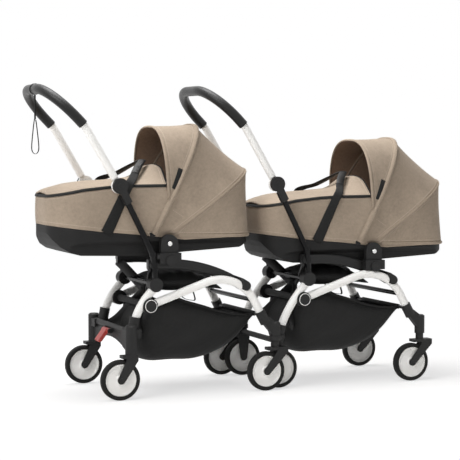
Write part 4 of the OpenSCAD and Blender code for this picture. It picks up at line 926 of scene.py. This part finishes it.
for unit, spot in FRAMES.items():
    seat = shell(unit + "_seat_cloth", seat_top, seat_low, spot, [ripstop])
    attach(seat, "chassis")
    if unit == "main":
        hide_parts("seat_slings")
    for side, word in ((-1, "right"), (1, "left")):
        ties = {
            "rear": np.linspace([64, side * 70.0, 387.6], [104, side * 70.0, 391], 9),
            "side": np.linspace([285.0, side * 118, 366], [285.0, side * 166, 386], 9),
        }
        for label, tie in ties.items():
            band = ribbon(f"{unit}_seat_tie_{label}_{word}", tie, 15, 2.0, np.tile([0, 0, 1.0], (9, 1)),
                          spot, webbing)
            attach(band, "chassis")
    pull = smooth([[236, -60, 362], [246, -60, 330], [250, -60, 311], [240, -60, 309], [205, -60, 320],
                   [168, -60, 366]], 40)
    pull_flat = np.column_stack([np.gradient(pull[:, 2]), np.zeros(40), -np.gradient(pull[:, 0])])
    strip = ribbon(unit + "_seat_pull", pull, 6, 2.0, pull_flat, spot, webbing)
    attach(strip, "chassis")
print("seat cloth", seat_top.shape)

# %% [markdown]
# ## Basket
# The basket is a black bag that hangs between the rear hub tube and a thin front bar. Its belly line and
# its top edge are drawn from the side; between them a soft U-shaped section is carried along, so
# the sides, the floor and the back flow into each other. The top edge is gathered by elastic.

# %% Basket
belly = smooth([[52, 296], [28, 240], [16, 165], [30, 130], [62, 111], [120, 103], [235, 105], [330, 128],
                [392, 178], [441, 254]], 73)
brim = smooth([[52, 297], [78, 301], [112, 316], [148, 326], [190, 313], [253, 294], [310, 275],
               [378, 262], [441, 259]], 73)
phi = np.linspace(0, math.pi, 49)
deep = np.abs(np.sin(phi)) ** (2 / 3.6)
side_y = np.sign(np.cos(phi)) * np.abs(np.cos(phi)) ** (2 / 3.6)
K = np.arange(73)[:, None]
hang = (belly - brim)[:, None, :] * deep[None, :, None] + brim[:, None, :]
swell = 1 + 0.012 * np.sin(phi * 2)[None, :] ** 2
pleats = 1.6 * np.sin(K * 2.1) * np.clip((K - 34) / 14, 0, 1) + 0.6 * np.sin(K * 0.9)
gather = pleats * np.exp(-deep[None, :] * 6)
crumple = 2.2 * np.sin(K * 0.33 + 3 * deep[None, :]) * np.sin(phi)[None, :] ** 2 * np.sin(K / 72 * math.pi)
far_slack = -26 * np.clip(side_y, 0, 1)[None, :] * np.sin(K / 72 * math.pi) * np.exp(-deep[None, :] * 3)
crumple = crumple + far_slack
bag_y = side_y[None, :] * (136.5 * swell + gather)
bag_out = np.stack([hang[:, :, 0], bag_y, hang[:, :, 1] + crumple], axis=2)
bag_in = bag_out + (np.array([226.0, 0, 250.0]) - bag_out) * 0.018
for unit, spot in FRAMES.items():
    bag = shell(unit + "_basket_cloth", bag_out, bag_in, spot, [ripstop])
    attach(bag, "chassis")
    if unit == "main":
        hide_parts("baskets")
    for label, col in (("left", 0), ("right", -1)):
        edge = bag_out[2:-2, col]
        up = np.tile([0, 0, 1.0], (len(edge), 1))
        hem = sweep(unit + "_basket_elastic_" + label, edge, up, 3.2, 4.4, spot, ripstop, 10)
        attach(hem, "chassis")
    for label, x, z, r in (("rear", 43.0, 308.0, 12.0), ("front", 441.8, 262.4, 9.0)):
        line = np.column_stack([np.full(9, x), np.linspace(-136, 136, 9), np.full(9, z)])
        up = np.tile([0, 0, 1.0], (9, 1))
        sleeve = sweep(unit + "_basket_sleeve_" + label, line, up, r, r, spot, ripstop, 20)
        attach(sleeve, "chassis")
print("basket", bag_out.shape)

# %% [markdown]
# ## Wrist strap
# A narrow webbing loop hangs from the rear handle. One ribbon makes it: up to the grip, once round it,
# down again beside itself, and then out into a long drop-shaped loop.

# %% Wrist strap
turns = np.radians(np.linspace(-86, 266, 25))
round_grip = np.column_stack([18.6 * np.cos(turns), 18.6 * np.sin(turns)])
loop = smooth([[-1.3, -98], [-4, -112], [-8, -145], [-12, -185], [-11.5, -204], [-6, -214], [0, -216.5],
               [6, -214], [11.5, -204], [12, -185], [8, -145], [4, -112], [1.3, -98]], 60)
ply = np.linspace(-97, -20, 12)
strap_xz = np.vstack([np.column_stack([np.full(12, 1.3), ply]), round_grip,
                      np.column_stack([np.full(12, -1.3), ply[::-1]]), loop[1:-1]])
strap_lo, strap_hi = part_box("wrist_strap")
apex = np.array([(strap_lo.x + strap_hi.x) * 500, -20.0, strap_hi.z * 1000 - 19])
wrist_line = np.column_stack([strap_xz[:, 0], np.zeros(len(strap_xz)), strap_xz[:, 1]])
wrist_ahead = np.gradient(wrist_line, axis=0)
wrist_flat = np.column_stack([-wrist_ahead[:, 2], np.zeros(len(strap_xz)), wrist_ahead[:, 0]])
wrist = ribbon("wrist_webbing", wrist_line, 5.5, 1.5, wrist_flat, apex, webbing)
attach(wrist, "main_handle")
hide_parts("wrist_strap")
tack_line = np.array([[0, 0, -101], [0, 0, -96], [0, 0, -88.0]])
tack = sweep("wrist_bar_tack", tack_line, np.tile([1.0, 0, 0], (3, 1)), 6.0, 2.6, apex, webbing, 10)
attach(tack, "main_handle")

# %% [markdown]
# ## Small trim
# A few turned and moulded details sit on the solids: bright pins in the cot brackets, and plain caps with a
# pale ring on the frame hubs. They are revolved from a short profile, and ride on what carries them.

# %% Small trim


def turned(name, profile, centre, side, spot, coat, count=40):
    """A small revolved piece; the profile gives radius and height outwards along the cross axis."""
    profile = np.asarray(profile, float)
    angle = np.linspace(0, 2 * math.pi, count, endpoint=False)
    rings = np.stack([np.column_stack([r * np.cos(angle), np.full(count, side * h), r * np.sin(angle)])
                      for r, h in profile]) + np.asarray(centre)
    total = len(profile)
    faces = [(i * count + k, i * count + (k + 1) % count, (i + 1) * count + (k + 1) % count,
              (i + 1) * count + k) for i in range(total - 1) for k in range(count)]
    faces += [tuple(range(count))[::-1], tuple(range((total - 1) * count, total * count))]
    if side > 0:
        faces = [f[::-1] for f in faces]
    flat = rings.reshape(-1, 3)
    return piece(name, flat, faces, flat[:, ::2] / 1000, spot, [coat])


PIN = [(8.2, 0), (8.2, 0.8), (7.4, 1.6), (5.2, 2.3), (2.6, 2.6), (0.4, 2.7)]
RING = [(21.6, 0), (21.6, 1.4), (21.0, 2.0), (19.8, 2.0), (19.2, 1.2)]
CAP = [(19.4, 0.6), (19.4, 1.2), (18.2, 2.2), (15.6, 2.6), (12, 3.2), (6, 3.8), (0.5, 4.0)]
hub_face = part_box("frame_hubs")[1].y * 1000 - 0.2
print("hub face at", round(hub_face, 1), "mm")
for side, word in ((-1, "right"), (1, "left")):
    for unit, spot in COTS.items():
        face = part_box(unit + "_cot_brackets")
        reach = (face[1].y if side > 0 else -face[0].y) * 1000
        pin = turned(f"{unit}_bracket_pin_{word}", PIN, (109, side * (reach - 0.2), 517.2), side, spot,
                     chrome)
        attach(pin, unit + "_cot")
    for unit, spot in FRAMES.items():
        cap = turned(f"{unit}_hub_cap_{word}", CAP, (43, side * hub_face, 308), side, spot, nylon)
        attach(cap, "chassis")
        ring = turned(f"{unit}_hub_ring_{word}", RING, (43, side * hub_face, 308), side, spot, abs_white)
        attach(ring, "chassis")
print("trim made")

# %% [markdown]
# ## Folding brace
# Behind the seat two black bars cross and close the frame when it folds. Only one half of them shows in the
# photograph; the other half is its mirror image. They meet in a flat pivot on the middle line.

# %% Folding brace
for unit, spot in FRAMES.items():
    for side, word in ((-1, "right"), (1, "left")):
        upper = smooth([[46, side * 168, 436], [60, side * 120, 410], [82, side * 46, 366],
                        [88, side * 8, 350]], 24)
        lower = smooth([[88, side * 8, 346], [66, side * 46, 306], [30, side * 104, 240],
                        [8, side * 138, 212]], 24)
        face = np.tile([-0.5, -0.85 * side, 0.0], (24, 1))
        for label, line, wide in (("upper", upper, 17.0), ("lower", lower, np.linspace(15, 22, 24))):
            bar = sweep(f"{unit}_brace_{label}_{word}", line, face, wide, 6, spot, nylon, 16)
            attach(bar, "chassis")
print("braces made")
